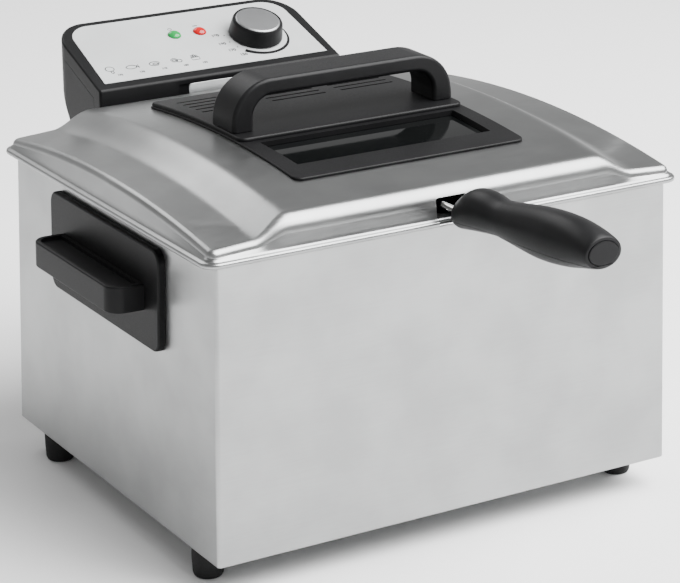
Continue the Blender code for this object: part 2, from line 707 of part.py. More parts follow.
def arch_outline(half, low, top, leg, thick, outer, inner, steps=5):
    """The handle's front view: an arch with large outer and smaller inner corner radii."""
    def corner(centre_x, centre_z, radius, start, end):
        points = []
        for step in range(steps + 1):
            angle = math.radians(start + (end - start) * step / steps)
            points.append((centre_x + radius * math.cos(angle), centre_z + radius * math.sin(angle)))
        return points

    outside = [(half, low)] + corner(half - outer, top - outer, outer, 0, 90)
    outside += corner(outer - half, top - outer, outer, 90, 180) + [(-half, low)]
    side = half - leg
    under = top - thick
    inside = [(-side, low)] + corner(inner - side, under - inner, inner, 180, 90)
    inside += corner(side - inner, under - inner, inner, 90, 0) + [(side, low)]
    return outside + inside


def make_lid_handle():
    foot = COVER_TOP + GAP + 0.1
    outline = arch_outline(ARCH_HALF, foot, ARCH_TOP, ARCH_LEG, ARCH_THICK, 30.0, 15.0)
    bm = outline_block(outline, -ARCH_WIDTH / 2, ARCH_WIDTH / 2)
    bmesh.ops.rotate(bm, matrix=Matrix.Rotation(math.pi / 2, 3, "X"), verts=bm.verts)
    bmesh.ops.recalc_face_normals(bm, faces=bm.faces)
    soften(bm, lambda p: p.z > foot + 0.5, 3.0, 2)
    handle = new_object("lid_handle", mesh_from(bm, "lid_handle"), BLACK)
    holes = bmesh.new()
    screw = [(0, 22.0), (1.9, 22.0), (1.9, 2.2), (4.0, 2.2), (4.0, 0.8), (3.2, 0), (0, 0)]
    for side, label in ((-1, "left"), (1, "right")):
        x = side * (ARCH_HALF - ARCH_LEG / 2 - 3)
        add_cylinder(holes, (x, 0, foot + 4), 2.4, 30.0, segments=12)
        place = (x, 0, CREST - 8 - GAP - 2.2)
        turned("lid_handle_screw_" + label, screw, CHROME, location=place, steps=10)
    boolean(handle, cutter("lid_handle_holes", holes))


# ---- control unit ----

def control_solid(inset=0.0):
    """Box with large rear corners, cut by the fascia plane above and a slope behind and below."""
    front = CONTROL_FRONT + inset
    rear = CONTROL_REAR - inset
    bm = bmesh.new()
    add_box(bm, (-CONTROL_X + inset, front, CONTROL_BOTTOM + inset), (CONTROL_X - inset, rear, 300))
    for vert in bm.verts:
        if vert.co.y > rear - 1:
            vert.co.x *= (CONTROL_X_REAR - inset) / (CONTROL_X - inset)
    rear_edges = [edge for edge in along(bm, 2) if edge.verts[0].co.y > rear - 1]
    bmesh.ops.bevel(bm, geom=rear_edges, offset=25.0 - inset, segments=6, affect="EDGES", profile=0.5)
    if not inset:
        upright = [edge for edge in along(bm, 2) if edge.verts[0].co.y < front + 0.1]
        front_edges = [edge for edge in upright if edge.calc_face_angle() > 0.5]
        bmesh.ops.bevel(bm, geom=front_edges, offset=2.0, segments=2, affect="EDGES", profile=0.5)
    up = Vector((0, -math.sin(FASCIA_ANGLE), math.cos(FASCIA_ANGLE)))
    bisect(bm, Vector((0, CONTROL_FRONT, FASCIA_Z)) - up * inset, up, True)
    slope = Vector((0, 15.6, -11.4)).normalized()
    bisect(bm, Vector((0, 230.0, 226.0)) - slope * inset, slope, True)
    return bm


def bezel_region(clear=0.0):
    """The L-shaped zone along the front lip and under the fascia that belongs to the bezel."""
    front = CONTROL_FRONT + BEZEL_DEPTH + clear
    below = BEZEL_DEPTH / math.cos(FASCIA_ANGLE) + clear
    lip = 229.0 - clear
    knee = FASCIA_Z + (front - CONTROL_FRONT) * fascia_slope - below
    far = 262.0
    end = FASCIA_Z + (far - CONTROL_FRONT) * fascia_slope - below
    outline = [(150, lip), (front, lip), (front, knee), (far, end), (far, 300), (150, 300)]
    bm = outline_block(outline, -115, 115)
    # The outline's X and Y become the fryer's Y and Z.
    turn = Matrix(((0, 0, 1), (1, 0, 0), (0, 1, 0)))
    bmesh.ops.transform(bm, matrix=turn.to_4x4(), verts=bm.verts)
    return bm


def fascia_outline(grow=0.0, steps=5):
    """Trapezoid in the fascia's own plane, with large upper corners."""
    low, high = 8.0 - grow, 85.5 + grow
    wide, narrow, corner = 94.0 + grow, 91.0 + grow, 18.0 + grow
    outline = [(-wide, low), (wide, low)]
    for side, start in ((1, 0), (-1, 90)):
        for step in range(steps + 1):
            angle = math.radians(start + 90 * step / steps)
            x = side * (narrow - corner) + corner * math.cos(angle)
            outline.append((x, high - corner + corner * math.sin(angle)))
    return outline


def make_control_box():
    bezel = new_object("control_bezel", mesh_from(control_solid(), "control_bezel"), BLACK)
    casing = new_object("control_casing", mesh_from(control_solid(), "control_casing"), BLACK)
    boolean(bezel, cutter("bezel_region", bezel_region()), "INTERSECT")
    boolean(casing, cutter("casing_clearance", bezel_region(GAP)))
    hollow = cutter("control_hollow", control_solid(WALL))
    boolean(bezel, hollow)
    boolean(casing, hollow)

    panel_recess = cutter("fascia_recess", outline_block(fascia_outline(0.3), -0.9, 6.0), fascia_frame)
    boolean(bezel, panel_recess)
    sheet = mesh_from(outline_block(fascia_outline(), -0.6, 0.15), "fascia_panel")
    panel = new_object("fascia_panel", sheet, SILVER, fascia_frame)
    holes = bmesh.new()
    add_cylinder(holes, (*KNOB_AT, 0), 4.3, 12.0, segments=16)
    for x, y in LENSES_AT.values():
        add_cylinder(holes, (x, y, 0), 5.0, 12.0, segments=16)
    drill = cutter("fascia_holes", holes, fascia_frame)
    boolean(bezel, drill)
    boolean(panel, drill)

    notch = bmesh.new()
    add_box(notch, (-44, CONTROL_FRONT - 6, TANK_TOP - 0.3), (44, CONTROL_FRONT + 9, 236))
    for side in (-1, 1):
        low = (side * RAIL_X - 7, CONTROL_FRONT - 6, CONTROL_BOTTOM - 8)
        add_box(notch, low, (side * RAIL_X + 7, CONTROL_FRONT + 7, 214))
    add_cylinder(notch, (0, CONTROL_FRONT, 184), 2.9, 12.0, "Y", 12)
    add_cylinder(notch, (-58, CONTROL_REAR, 258.5), 3.9, 12.0, "Y", 16)
    boolean(casing, cutter("casing_notches", notch))

    lip = bmesh.new()
    add_box(lip, (-37, CONTROL_FRONT - 6, 220), (37, CONTROL_FRONT + 1.6, 244))
    boolean(bezel, cutter("tab_recess", lip))


def make_control_fittings():
    lens = [(0, 3.0), (2.4, 2.7), (4.2, 1.8), (5.3, 0.5), (4.7, 0.5), (4.7, -7), (0, -7)]
    for name, (x, y) in LENSES_AT.items():
        turned(name, lens, GLASS, fascia_frame, (x, y, 0), steps=16)
    board = bmesh.new()
    add_box(board, (-24, 50, -9.6), (20, 64, -7.8))
    new_object("lamp_board", mesh_from(board, "lamp_board"), INNER, fascia_frame)

    knob = [
        (3.4, 12.6), (17.6, 12.6), (17.6, 13.9), (18.3, 13.9), (18.9, 13.2), (20.9, 0.9),
        (19.4, 0.9), (17.4, 10.2), (6.2, 10.2), (6.2, 1.6), (3.4, 1.6),
    ]
    cap = [(0, 14.3), (16.4, 14.3), (17.2, 13.6), (17.2, 12.9), (0, 12.9)]
    shaft = [(0, 12.2), (3.0, 12.2), (3.0, -15), (0, -15)]
    x, y = KNOB_AT
    turned("knob", knob, BLACK, fascia_frame, (x, y, 0), steps=28, ring=True)
    turned("knob_cap", cap, SILVER, fascia_frame, (x, y, 0), steps=28)
    turned("thermostat_shaft", shaft, STEEL, fascia_frame, (x, y, 0), steps=14)
    body = rounded_block((x - 15, y - 15, -24), (x + 15, y + 15, -3.2), 4.0, 2)
    thermostat = new_object("thermostat_body", mesh_from(body, "thermostat_body"), INNER, fascia_frame)
    bore = bmesh.new()
    add_cylinder(bore, (*KNOB_AT, -6), 3.4, 20.0, segments=14)
    boolean(thermostat, cutter("shaft_bore", bore, fascia_frame))

    for name, low, high in (
        ("terminal_block", (-48, 178, 190), (-15, 194, 204)),
        ("interlock_switch", (-11, 174, 177), (11, 186, 191)),
        ("thermal_cutout", (-68, 223, 251), (-48, 237.5, 262)),
    ):
        block = rounded_block(low, high, 1.5, 1)
        new_object(name, mesh_from(block, name), INNER)

    plunger = [
        (0, 20.2), (2.5, 20.2), (2.5, 16.4), (4.4, 16.4), (4.4, 14.6),
        (2.5, 14.6), (2.5, 0.8), (1.7, 0), (0, 0),
    ]
    back = (-math.pi / 2, 0, 0)
    turned("interlock_plunger", plunger, BLACK, location=(0, 151.6, 184), rotation=back, steps=12)
    button = [
        (0, 8.2), (3.0, 8.2), (3.5, 7.6), (3.5, 2.0), (5.2, 2.0),
        (5.2, 0.4), (1.5, 0.4), (1.5, -0.2), (0, -0.2),
    ]
    turned("reset_button", button, RUBBER, location=(-58, 240.0, 258.5), rotation=back, steps=14)


def on_slope(across, along_slope, lift=0.0):
    """A point on the control unit's lower rear slope, measured down from its knee."""
    down = Vector((0, -11.4, -15.6)).normalized()
    normal = Vector((0, 15.6, -11.4)).normalized()
    return Vector((across, 230.0, 226.0)) + down * along_slope + normal * lift


def make_slope_fittings():
    tilt = (-math.pi / 2 - math.atan2(11.4, 15.6), 0, 0)
    gland = [(4.2, 7.0), (6.6, 7.0), (9.4, 2.2), (9.4, GAP), (7.0, GAP), (7.0, -6.0), (4.2, -6.0)]
    exit_at = on_slope(60, 32)
    turned("cord_gland", gland, RUBBER, location=exit_at, rotation=tilt, steps=16, ring=True)
    screw = [(0, 2.2), (3.0, 2.2), (3.9, 1.4), (3.9, 0.4), (1.8, 0.4), (1.8, -9.0), (0, -9.0)]
    holes = bmesh.new()
    for side, label in ((-1, "left"), (1, "right")):
        place = on_slope(side * 80, 12)
        turned("casing_screw_" + label, screw, CHROME, location=place, rotation=tilt, steps=10)
        add_tilted_hole(holes, place, tilt, 2.2)
    add_tilted_hole(holes, exit_at, tilt, 7.3)
    boolean(bpy.data.objects["control_casing"], cutter("slope_holes", holes))


def add_tilted_hole(bm, place, tilt, radius):
    turn = Matrix.Rotation(tilt[0], 4, "X")
    bmesh.ops.create_cone(
        bm, cap_ends=True, segments=16, radius1=radius, radius2=radius, depth=16.0,
        matrix=Matrix.Translation(place) @ turn,
    )


def make_heating():
    """Tubular element: in over the tank's rim, down inside the rear wall, and looped over the floor."""
    floor = TANK_FLOOR + 18.0
    leg_y = 122.5
    over = 223.0
    half = [
        (26, 176, over), (26, leg_y, over), (26, leg_y, floor), (26, 102, floor), (126, 102, floor),
        (126, -98, floor), (84, -98, floor), (84, 62, floor), (42, 62, floor), (42, -98, floor),
    ]
    left = [(-x, y, z) for x, y, z in half]
    tube("heating_element", rounded_path(left + half[::-1], 9.0, 3), 3.2, STEEL)

    under = over + 3.5
    top = under + 1.2
    outline = [(114.5, 96), (115.7, 96), (115.7, under), (178, under), (178, top), (114.5, top)]
    bm = outline_block(outline, -40, 40)
    turn = Matrix(((0, 0, 1), (1, 0, 0), (0, 1, 0)))
    bmesh.ops.transform(bm, matrix=turn.to_4x4(), verts=bm.verts)
    new_object("element_head", mesh_from(bm, "element_head"), STEEL)

    bulb = [(0, 90), (3.3, 90), (3.3, 0), (0, 0)]
    lies = (-62, 52, floor + 8.5)
    turned("thermostat_bulb", bulb, CHROME, location=lies, rotation=(math.pi / 2, 0, 0), steps=12)
    path = [
        (-62, 52.6, floor + 8.5), (-62, 92, floor + 8.5), (-12, leg_y, floor + 12),
        (-12, leg_y, over), (-12, 180, over),
    ]
    tube("capillary_tube", rounded_path(path, 6.0, 3), 1.2, CHROME)


housing = make_housing_shell()
make_base_plate()
make_feet()
make_side_handle(-1, "left", housing)
make_side_handle(1, "right", housing)
make_rails()
make_tank()
make_basket()
make_grip()
make_lid_shell()
make_lid_insert()
make_filter()
make_lid_handle()
make_control_box()
make_control_fittings()
make_slope_fittings()
make_heating()
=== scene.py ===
import math

import bmesh
import bpy
from mathutils import Matrix, Vector


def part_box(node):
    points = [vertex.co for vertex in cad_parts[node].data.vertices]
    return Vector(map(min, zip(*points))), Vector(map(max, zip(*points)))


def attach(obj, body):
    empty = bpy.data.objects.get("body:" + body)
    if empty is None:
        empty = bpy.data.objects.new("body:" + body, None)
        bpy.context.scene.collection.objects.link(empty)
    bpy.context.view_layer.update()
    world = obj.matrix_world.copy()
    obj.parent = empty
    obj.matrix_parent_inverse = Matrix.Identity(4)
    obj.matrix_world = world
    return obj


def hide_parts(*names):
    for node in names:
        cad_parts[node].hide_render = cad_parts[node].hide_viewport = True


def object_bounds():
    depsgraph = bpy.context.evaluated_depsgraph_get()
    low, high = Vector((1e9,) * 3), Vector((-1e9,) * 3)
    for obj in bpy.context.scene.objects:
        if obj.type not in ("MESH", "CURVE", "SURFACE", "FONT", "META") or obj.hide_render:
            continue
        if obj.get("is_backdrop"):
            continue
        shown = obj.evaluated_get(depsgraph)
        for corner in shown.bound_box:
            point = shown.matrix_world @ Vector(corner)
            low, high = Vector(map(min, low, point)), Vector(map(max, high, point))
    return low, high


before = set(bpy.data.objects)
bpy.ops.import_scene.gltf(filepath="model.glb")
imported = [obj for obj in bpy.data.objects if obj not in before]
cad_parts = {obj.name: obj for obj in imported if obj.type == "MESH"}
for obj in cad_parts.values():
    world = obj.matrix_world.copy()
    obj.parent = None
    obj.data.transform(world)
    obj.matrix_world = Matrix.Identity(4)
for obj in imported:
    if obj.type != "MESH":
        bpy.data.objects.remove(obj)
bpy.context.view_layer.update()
print("deep fryer: the packed frame is loaded")

mm = 0.001
shellLow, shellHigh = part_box("housing_shell")
# Pieces are laid out in millimetres about the housing's middle, with its lower edge at a height of 13.
middle = Vector((0, (shellLow.y + shellHigh.y) / 2, shellLow.z - 13 * mm))


def boxOf(node):  # a node's corners in the layout's millimetres
    low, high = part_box(node)
    return (low - middle) / mm, (high - middle) / mm


def linear(hexText):  # sRGB hex to the linear colour that shaders take
    parts = [int(hexText[i:i + 2], 16) / 255 for i in (1, 3, 5)]
    return tuple(p / 12.92 if p <= 0.04045 else ((p + 0.055) / 1.055) ** 2.4 for p in parts) + (1.0,)


def linked(name, data):
    made = bpy.data.objects.new(name, data)
    bpy.context.scene.collection.objects.link(made)
    return made


def addNode(tree, kind, settings, inputs):
    node = tree.nodes.new(kind)
    for name, value in settings.items():
        setattr(node, name, value)
    for name, value in inputs.items():
        if isinstance(value, bpy.types.NodeSocket):
            tree.links.new(value, node.inputs[name])
        else:
            node.inputs[name].default_value = value
    return node


def makeSurface(name, values):  # grain and cloud are pattern sizes in millimetres
    made = bpy.data.materials.new(name)
    made.use_nodes = True
    tree = made.node_tree
    shader = tree.nodes["Principled BSDF"]
    for socket, value in values["sockets"].items():
        shader.inputs[socket].default_value = value
    where = addNode(tree, "ShaderNodeTexCoord", {}, {}).outputs["Object"]
    grainScale = [1000 / size for size in values["grain"]]
    stretched = addNode(tree, "ShaderNodeMapping", {}, {"Vector": where, "Scale": grainScale})
    grain = addNode(
        tree, "ShaderNodeTexNoise", {},
        {"Vector": stretched.outputs[0], "Scale": 1.0, "Detail": 2.5, "Roughness": 0.6})
    cloud = addNode(
        tree, "ShaderNodeTexNoise", {}, {"Vector": where, "Scale": 1000 / values["cloud"], "Detail": 3.0})
    both = addNode(
        tree, "ShaderNodeMath", {"operation": "MULTIPLY_ADD"},
        {0: grain.outputs[0], 1: values["streak"], 2: cloud.outputs[0]})
    middleValue = 0.5 + 0.5 * values["streak"]
    share = addNode(
        tree, "ShaderNodeMapRange", {},
        {0: both.outputs[0], 1: middleValue - 0.16, 2: middleValue + 0.16, 3: 0.0, 4: 1.0})
    colour = addNode(
        tree, "ShaderNodeMix", {"data_type": "RGBA"},
        {0: share.outputs[0], 6: linear(values["dark"]), 7: linear(values["pale"])})
    tree.links.new(colour.outputs[2], shader.inputs["Base Color"])
    smoothest, roughest = values["roughness"]
    rough = addNode(
        tree, "ShaderNodeMapRange", {}, {0: grain.outputs[0], 1: 0.3, 2: 0.7, 3: smoothest, 4: roughest})
    tree.links.new(rough.outputs[0], shader.inputs["Roughness"])
    if values["bump"]:
        rise = addNode(
            tree, "ShaderNodeBump", {},
            {"Height": grain.outputs[0], "Strength": values["bump"], "Distance": 0.0003})
        tree.links.new(rise.outputs[0], shader.inputs["Normal"])
    if values["brushed"]:
        about = {"direction_type": "RADIAL", "axis": values["brushed"]}
        tangent = addNode(tree, "ShaderNodeTangent", about, {})
        tree.links.new(tangent.outputs[0], shader.inputs["Tangent"])
    return made


metal = {
    "sockets": {"Metallic": 1.0}, "dark": "#989999", "pale": "#A3A4A4", "roughness": (0.28, 0.36),
    "grain": (2.0, 2.0, 2.0), "cloud": 45.0, "streak": 0.3, "bump": 0.0, "brushed": None,
}
plastic = {
    "sockets": {"IOR": 1.46, "Specular IOR Level": 0.16}, "dark": "#0B0B0C", "pale": "#101011",
    "roughness": (0.42, 0.52), "grain": (0.9, 0.9, 0.9), "cloud": 45.0, "streak": 0.2, "bump": 0.12,
    "brushed": None,
}
lens = {**plastic, "roughness": (0.08, 0.12), "bump": 0.0, "grain": (5.0, 5.0, 5.0)}
surfaces = {  # each finish: its material's name and values
    # Stainless sheet, belt-brushed level with the worktop: the sheen stretches up and down, over a faint
    # cloudiness. The real lines are 0.1 mm apart, too fine to show, so they are drawn about 1.1 mm apart.
    "brushedHousing": ("brushedStainlessHousing", {
        **metal, "sockets": {"Metallic": 1.0, "Anisotropic": 0.4, "Anisotropic Rotation": 0.0},
        "grain": (26.0, 26.0, 1.1), "bump": 0.03, "brushed": "Z"}),
    # The same sheet, brushed from side to side over the dome. Its colour is painted a shade darker than the
    # housing's: painted shade for the dome's top, which faces the dim overhead.
    "brushedLidPaintedShade": ("brushedStainlessLidPaintedShade", {
        **metal, "sockets": {"Metallic": 1.0, "Anisotropic": 0.4, "Anisotropic Rotation": 0.25},
        "dark": "#8C8D8D", "pale": "#979898", "grain": (26.0, 1.1, 1.1), "bump": 0.03, "brushed": "X"}),
    # Deep-drawn stainless, as it leaves the press: satin, with a soft mottle. Its colour is painted paler
    # than the housing's steel, as painted light standing in for the light that bounces about inside the tank.
    "drawnStainlessPaintedLight": ("deepDrawnStainlessPaintedLight", {
        **metal, "dark": "#BCBDBD", "pale": "#C8C9C9", "roughness": (0.34, 0.46),
        "grain": (14.0, 14.0, 14.0)}),
    # Stamped stainless strip: duller, with a fine grain.
    "stampedStainless": ("stampedStainless", {
        **metal, "dark": "#888989", "pale": "#9A9B9B", "roughness": (0.3, 0.42), "grain": (3.0, 3.0, 3.0)}),
    # Nickel-plated spring wire: bright and hard-edged in its reflections.
    "platedWire": ("nickelPlatedWire", {
        **metal, "dark": "#B4B3B1", "pale": "#C6C5C3", "roughness": (0.1, 0.18), "grain": (6.0, 6.0, 6.0)}),
    # Zinc-plated screw steel: slightly blue, satin.
    "zincScrew": ("zincPlatedSteel", {**metal, "dark": "#8C8E90", "pale": "#A0A2A3"}),
    # Sheathed element tube: stainless that heat has browned a little.
    "elementSheath": ("heatTintedStainless", {
        **metal, "dark": "#7D746A", "pale": "#A0978C", "roughness": (0.3, 0.45),
        "grain": (18.0, 18.0, 18.0)}),
    # Aluminium, satin anodised: flat grey that takes on no sharp reflections.
    "anodisedCap": ("anodisedAluminium", {
        **metal, "dark": "#8E8F90", "pale": "#9C9D9E", "roughness": (0.36, 0.46), "grain": (0.9, 0.9, 0.9)}),
    # Polypropylene, moulded in a spark-eroded tool: near black, soft highlights, a fine even grain.
    "blackPlastic": ("mouldedPolypropylene", plastic),
    # Phenolic resin, moulded and buffed: a touch smoother and paler than the rest.
    "gripPlastic": ("mouldedPhenolic", {
        **plastic, "dark": "#101011", "pale": "#151516", "roughness": (0.36, 0.44), "grain": (1.1, 1.1, 1.1),
        "bump": 0.08}),
    # Silicone rubber, moulded: dull black with hardly a highlight.
    "footRubber": ("siliconeRubber", {
        **plastic, "sockets": {"IOR": 1.41}, "roughness": (0.68, 0.82), "grain": (1.4, 1.4, 1.4),
        "bump": 0.15}),
    # Polyamide, moulded: the pale housings of switches and terminals.
    "innerPlastic": ("mouldedPolyamide", {
        **plastic, "dark": "#8F8E86", "pale": "#A5A49B", "roughness": (0.5, 0.6), "grain": (1.5, 1.5, 1.5)}),
    # Silver-grey lacquer, screen-printed on an aluminium panel: even, with a dry sheen.
    "printedPanel": ("silverLacquer", {
        **plastic, "sockets": {"Metallic": 0.1}, "dark": "#B4B6B6", "pale": "#BCBEBE", "bump": 0.02}),
    # Screen-printing ink: flat black with soft edges.
    "printInk": ("screenInk", {**plastic, "roughness": (0.55, 0.65), "bump": 0.0}),
    # The same ink thinned to grey for the small pictures.
    "paleInk": ("greyScreenInk", {
        **plastic, "dark": "#2E3031", "pale": "#383A3B", "roughness": (0.55, 0.65), "bump": 0.0}),
    # Polyester fleece with carbon: an open, fibrous dark mat.
    "filterFleece": ("carbonFleece", {
        **plastic, "dark": "#2C2C2A", "pale": "#595853", "roughness": (0.85, 0.95), "bump": 0.9,
        "cloud": 4.0}),
    # Tinted tempered glass, drawn opaque: nearly black, partly the glass's own tint and partly painted shade
    # for the dark inside beneath it, with a sharp reflection.
    "tintedGlassPaintedShade": ("temperedGlassPaintedShade", {
        **lens, "sockets": {"IOR": 1.5, "Specular IOR Level": 0.15}, "dark": "#08090A", "pale": "#0C0D0D",
        "roughness": (0.04, 0.07)}),
    # Clear tinted polycarbonate over a lamp that is on: deep colour with a glow from within.
    "greenLens": ("greenPolycarbonate", {
        **lens, "dark": "#04662A", "pale": "#0A9A48",
        "sockets": {
            "IOR": 1.58, "Specular IOR Level": 0.35, "Emission Color": linear("#12C060"),
            "Emission Strength": 0.1}}),
    "redLens": ("redPolycarbonate", {
        **lens, "dark": "#9C060C", "pale": "#CC1218",
        "sockets": {
            "IOR": 1.58, "Specular IOR Level": 0.35, "Emission Color": linear("#F01810"),
            "Emission Strength": 0.1}}),
}
finishes = {key: makeSurface(name, values) for key, (name, values) in surfaces.items()}
print("deep fryer: finishes made")


def meshOf(name, bm):
    data = bpy.data.meshes.new(name)
    bm.to_mesh(data)
    bm.free()
    return data


def place(bm, name, finish, body, nodes=(), slot=None, angle=32, weighted=True):
    bmesh.ops.recalc_face_normals(bm, faces=bm.faces)
    bmesh.ops.scale(bm, vec=(mm, mm, mm), verts=bm.verts)
    bmesh.ops.translate(bm, vec=middle, verts=bm.verts)
    data = meshOf(name, bm)
    data.shade_smooth()
    data.set_sharp_from_angle(angle=math.radians(angle))
    data.materials.append(finishes[finish])
    piece = linked(name, data)
    if weighted:  # keeps the flats flat beside the small rounded edges
        steady = piece.modifiers.new("steadyNormals", "WEIGHTED_NORMAL")
        steady.keep_sharp = True
        steady.weight = 80
    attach(piece, body)
    if nodes:
        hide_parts(*nodes)


def finalShape(holder, *others):  # the evaluated mesh of a helper object, which then goes
    shape = bpy.data.meshes.new_from_object(holder.evaluated_get(bpy.context.evaluated_depsgraph_get()))
    for spent in (holder, *others):
        bpy.data.objects.remove(spent)
    bm = bmesh.new()
    bm.from_mesh(shape)
    bpy.data.meshes.remove(shape)
    return bm


def carve(solid, cutter, operation="DIFFERENCE"):  # an exact Boolean of two bmeshes, both used up
    pair = []
    for bm in (solid, cutter):
        bmesh.ops.recalc_face_normals(bm, faces=bm.faces)
        pair.append(linked("carving", meshOf("carving", bm)))
    step = pair[0].modifiers.new("carve", "BOOLEAN")
    step.operation = operation
    step.object = pair[1]
    step.solver = "EXACT"
    return finalShape(*pair)


def addBlock(bm, low, high):
    centre = [(a + b) / 2 for a, b in zip(low, high)]
    size = [b - a for a, b in zip(low, high)]
    place4 = Matrix.Translation(centre) @ Matrix.Diagonal((*size, 1.0))
    return bmesh.ops.create_cube(bm, size=1.0, matrix=place4)["verts"]


def edgesAlong(bm, axis, test=None):
    found = []
    for edge in bm.edges:
        reach = edge.verts[1].co - edge.verts[0].co
        if abs(reach[axis]) > 0.999 * reach.length and (test is None or test(edge.verts[0].co)):
            found.append(edge)
    return found


def ways(start, turn, steps):  # cosine and sine at evenly spaced angles in degrees, both ends included
    angles = [math.radians(start + turn * k / steps) for k in range(steps + 1)]
    return [(math.cos(a), math.sin(a)) for a in angles]


def roundOf(steps):
    return ways(0, 360, steps)[:-1]


def quarterFalls(steps):  # how far an arc of radius 1 falls short, across and along, through 90 degrees
    return [(1 - c, 1 - s) for c, s in ways(0, 90, steps)]


def arcOf(x, y, radius, start, turn, steps):
    return [(x + radius * c, y + radius * s) for c, s in ways(start, turn, steps)]


def bevel(bm, edges, radius, steps, clamp=False):
    bmesh.ops.bevel(
        bm, geom=edges, offset=radius, segments=steps, affect="EDGES", profile=0.5, clamp_overlap=clamp)


def block(low, high, corner=0.0, steps=8, axis=2):  # a box with the edges along one axis rounded
    bm = bmesh.new()
    addBlock(bm, low, high)
    if corner:
        bevel(bm, edgesAlong(bm, axis), corner, steps)
    return bm


def roundEdges(bm, test, radius, steps=3, sharper=0.6):
    chosen = [
        edge for edge in bm.edges
        if len(edge.link_faces) == 2 and edge.calc_face_angle() > sharper
        and test((edge.verts[0].co + edge.verts[1].co) / 2)
    ]
    bevel(bm, chosen, radius, steps, True)


def cylinder(bm, centre, radius, length, axis="Z", steps=32):
    turns = {"X": Matrix.Rotation(math.pi / 2, 4, "Y"), "Y": Matrix.Rotation(math.pi / 2, 4, "X")}
    where = Matrix.Translation(centre) @ turns.get(axis, Matrix.Identity(4))
    bmesh.ops.create_cone(
        bm, cap_ends=True, segments=steps, radius1=radius, radius2=radius, depth=length, matrix=where)


def ringOf(halfX, halfY, corner, z, steps=8, centreY=0.0):
    points = []
    for quarter, (sideX, sideY) in enumerate(((1, 1), (-1, 1), (-1, -1), (1, -1))):
        x, y = sideX * (halfX - corner), centreY + sideY * (halfY - corner)
        points += [Vector((a, b, z)) for a, b in arcOf(x, y, corner, 90 * quarter, 90, steps)]
    return points


def loft(bm, rings, loop=False, caps=False):  # joins equal rings of points with quads
    made = [[bm.verts.new(point) for point in ring] for ring in rings]
    pairs = list(zip(made, made[1:]))
    if loop:
        pairs.append((made[-1], made[0]))
    for first, second in pairs:
        for index in range(len(first)):
            after = (index + 1) % len(first)
            bm.faces.new((first[index], first[after], second[after], second[index]))
    if caps:
        bm.faces.new(made[0])
        bm.faces.new(made[-1])


def lofted(rings, loop=False, caps=False):
    bm = bmesh.new()
    loft(bm, rings, loop, caps)
    return bm


def turnedShape(profile, steps=64, closed=False):  # (radius, height) points turned about Z
    bm = bmesh.new()
    rings = []
    for radius, height in profile:
        if radius < 0.001:
            rings.append([bm.verts.new((0, 0, height))])
        else:
            rings.append([bm.verts.new((radius * c, radius * s, height)) for c, s in roundOf(steps)])
    pairs = list(zip(rings, rings[1:]))
    if closed:
        pairs.append((rings[-1], rings[0]))
    for first, second in pairs:
        if len(first) == 1 and len(second) == 1:
            continue
        for k in range(steps):
            after = (k + 1) % steps
            if len(first) == 1:
                bm.faces.new((first[0], second[k], second[after]))
            elif len(second) == 1:
                bm.faces.new((first[k], first[after], second[0]))
            else:
                bm.faces.new((first[k], first[after], second[after], second[k]))
    return bm


def softened(profile, radius, steps=3):  # rounds the inner corners of an open profile
    out = [profile[0]]
    for before, corner, after in zip(profile, profile[1:], profile[2:]):
        a, c, b = Vector(before), Vector(corner), Vector(after)
        reach = min(radius, (a - c).length * 0.45, (b - c).length * 0.45)
        start = c + (a - c).normalized() * reach
        end = c + (b - c).normalized() * reach
        for step in range(steps + 1):
            t = step / steps
            out.append(tuple((1 - t) ** 2 * start + 2 * t * (1 - t) * c + t * t * end))
    out.append(profile[-1])
    return out


def roundedRoute(corners, radius, steps=8, closed=False):  # a polyline with an arc at each corner
    points = [Vector(corner) for corner in corners]
    out = []
    count = len(points)
    for index, point in enumerate(points):
        if not closed and index in (0, count - 1):
            out.append(point)
            continue
        before = (points[index - 1] - point).normalized()
        after = (points[(index + 1) % count] - point).normalized()
        half = before.angle(after) / 2
        reach = radius / math.tan(half)
        centre = point + (before + after).normalized() * (radius / math.sin(half))
        start = point + before * reach - centre
        end = point + after * reach - centre
        turn = start.rotation_difference(end)
        for step in range(steps + 1):
            out.append(centre + Matrix.Rotation(turn.angle * step / steps, 3, turn.axis) @ start)
    return out


def addTube(bm, route, radius, sides=12, closed=False):  # a round wire that follows a route
    points = [Vector(p) for p in route]
    count = len(points)
    rings = []
    side = None
    for index, point in enumerate(points):
        if closed:
            way = (points[(index + 1) % count] - points[index - 1]).normalized()
        else:
            way = (points[min(index + 1, count - 1)] - points[max(index - 1, 0)]).normalized()
        if side is None:
            side = way.orthogonal().normalized()
        side = (side - way * side.dot(way)).normalized()
        other = way.cross(side)
        rings.append([point + (side * c + other * s) * radius for c, s in roundOf(sides)])
    loft(bm, rings, loop=closed, caps=not closed)


def extruded(outline, low, high):  # a flat outline given a height, closed by two caps
    return lofted([[Vector((x, y, z)) for x, y in outline] for z in (low, high)], caps=True)


def moved(bm, matrix):
    bmesh.ops.transform(bm, matrix=matrix, verts=bm.verts)
    return bm


housing = {"corner": 3.0, "sheet": 1.2, "topRadius": 1.6, "flange": 9.0, "hem": 1.7, "flare": 4.5}


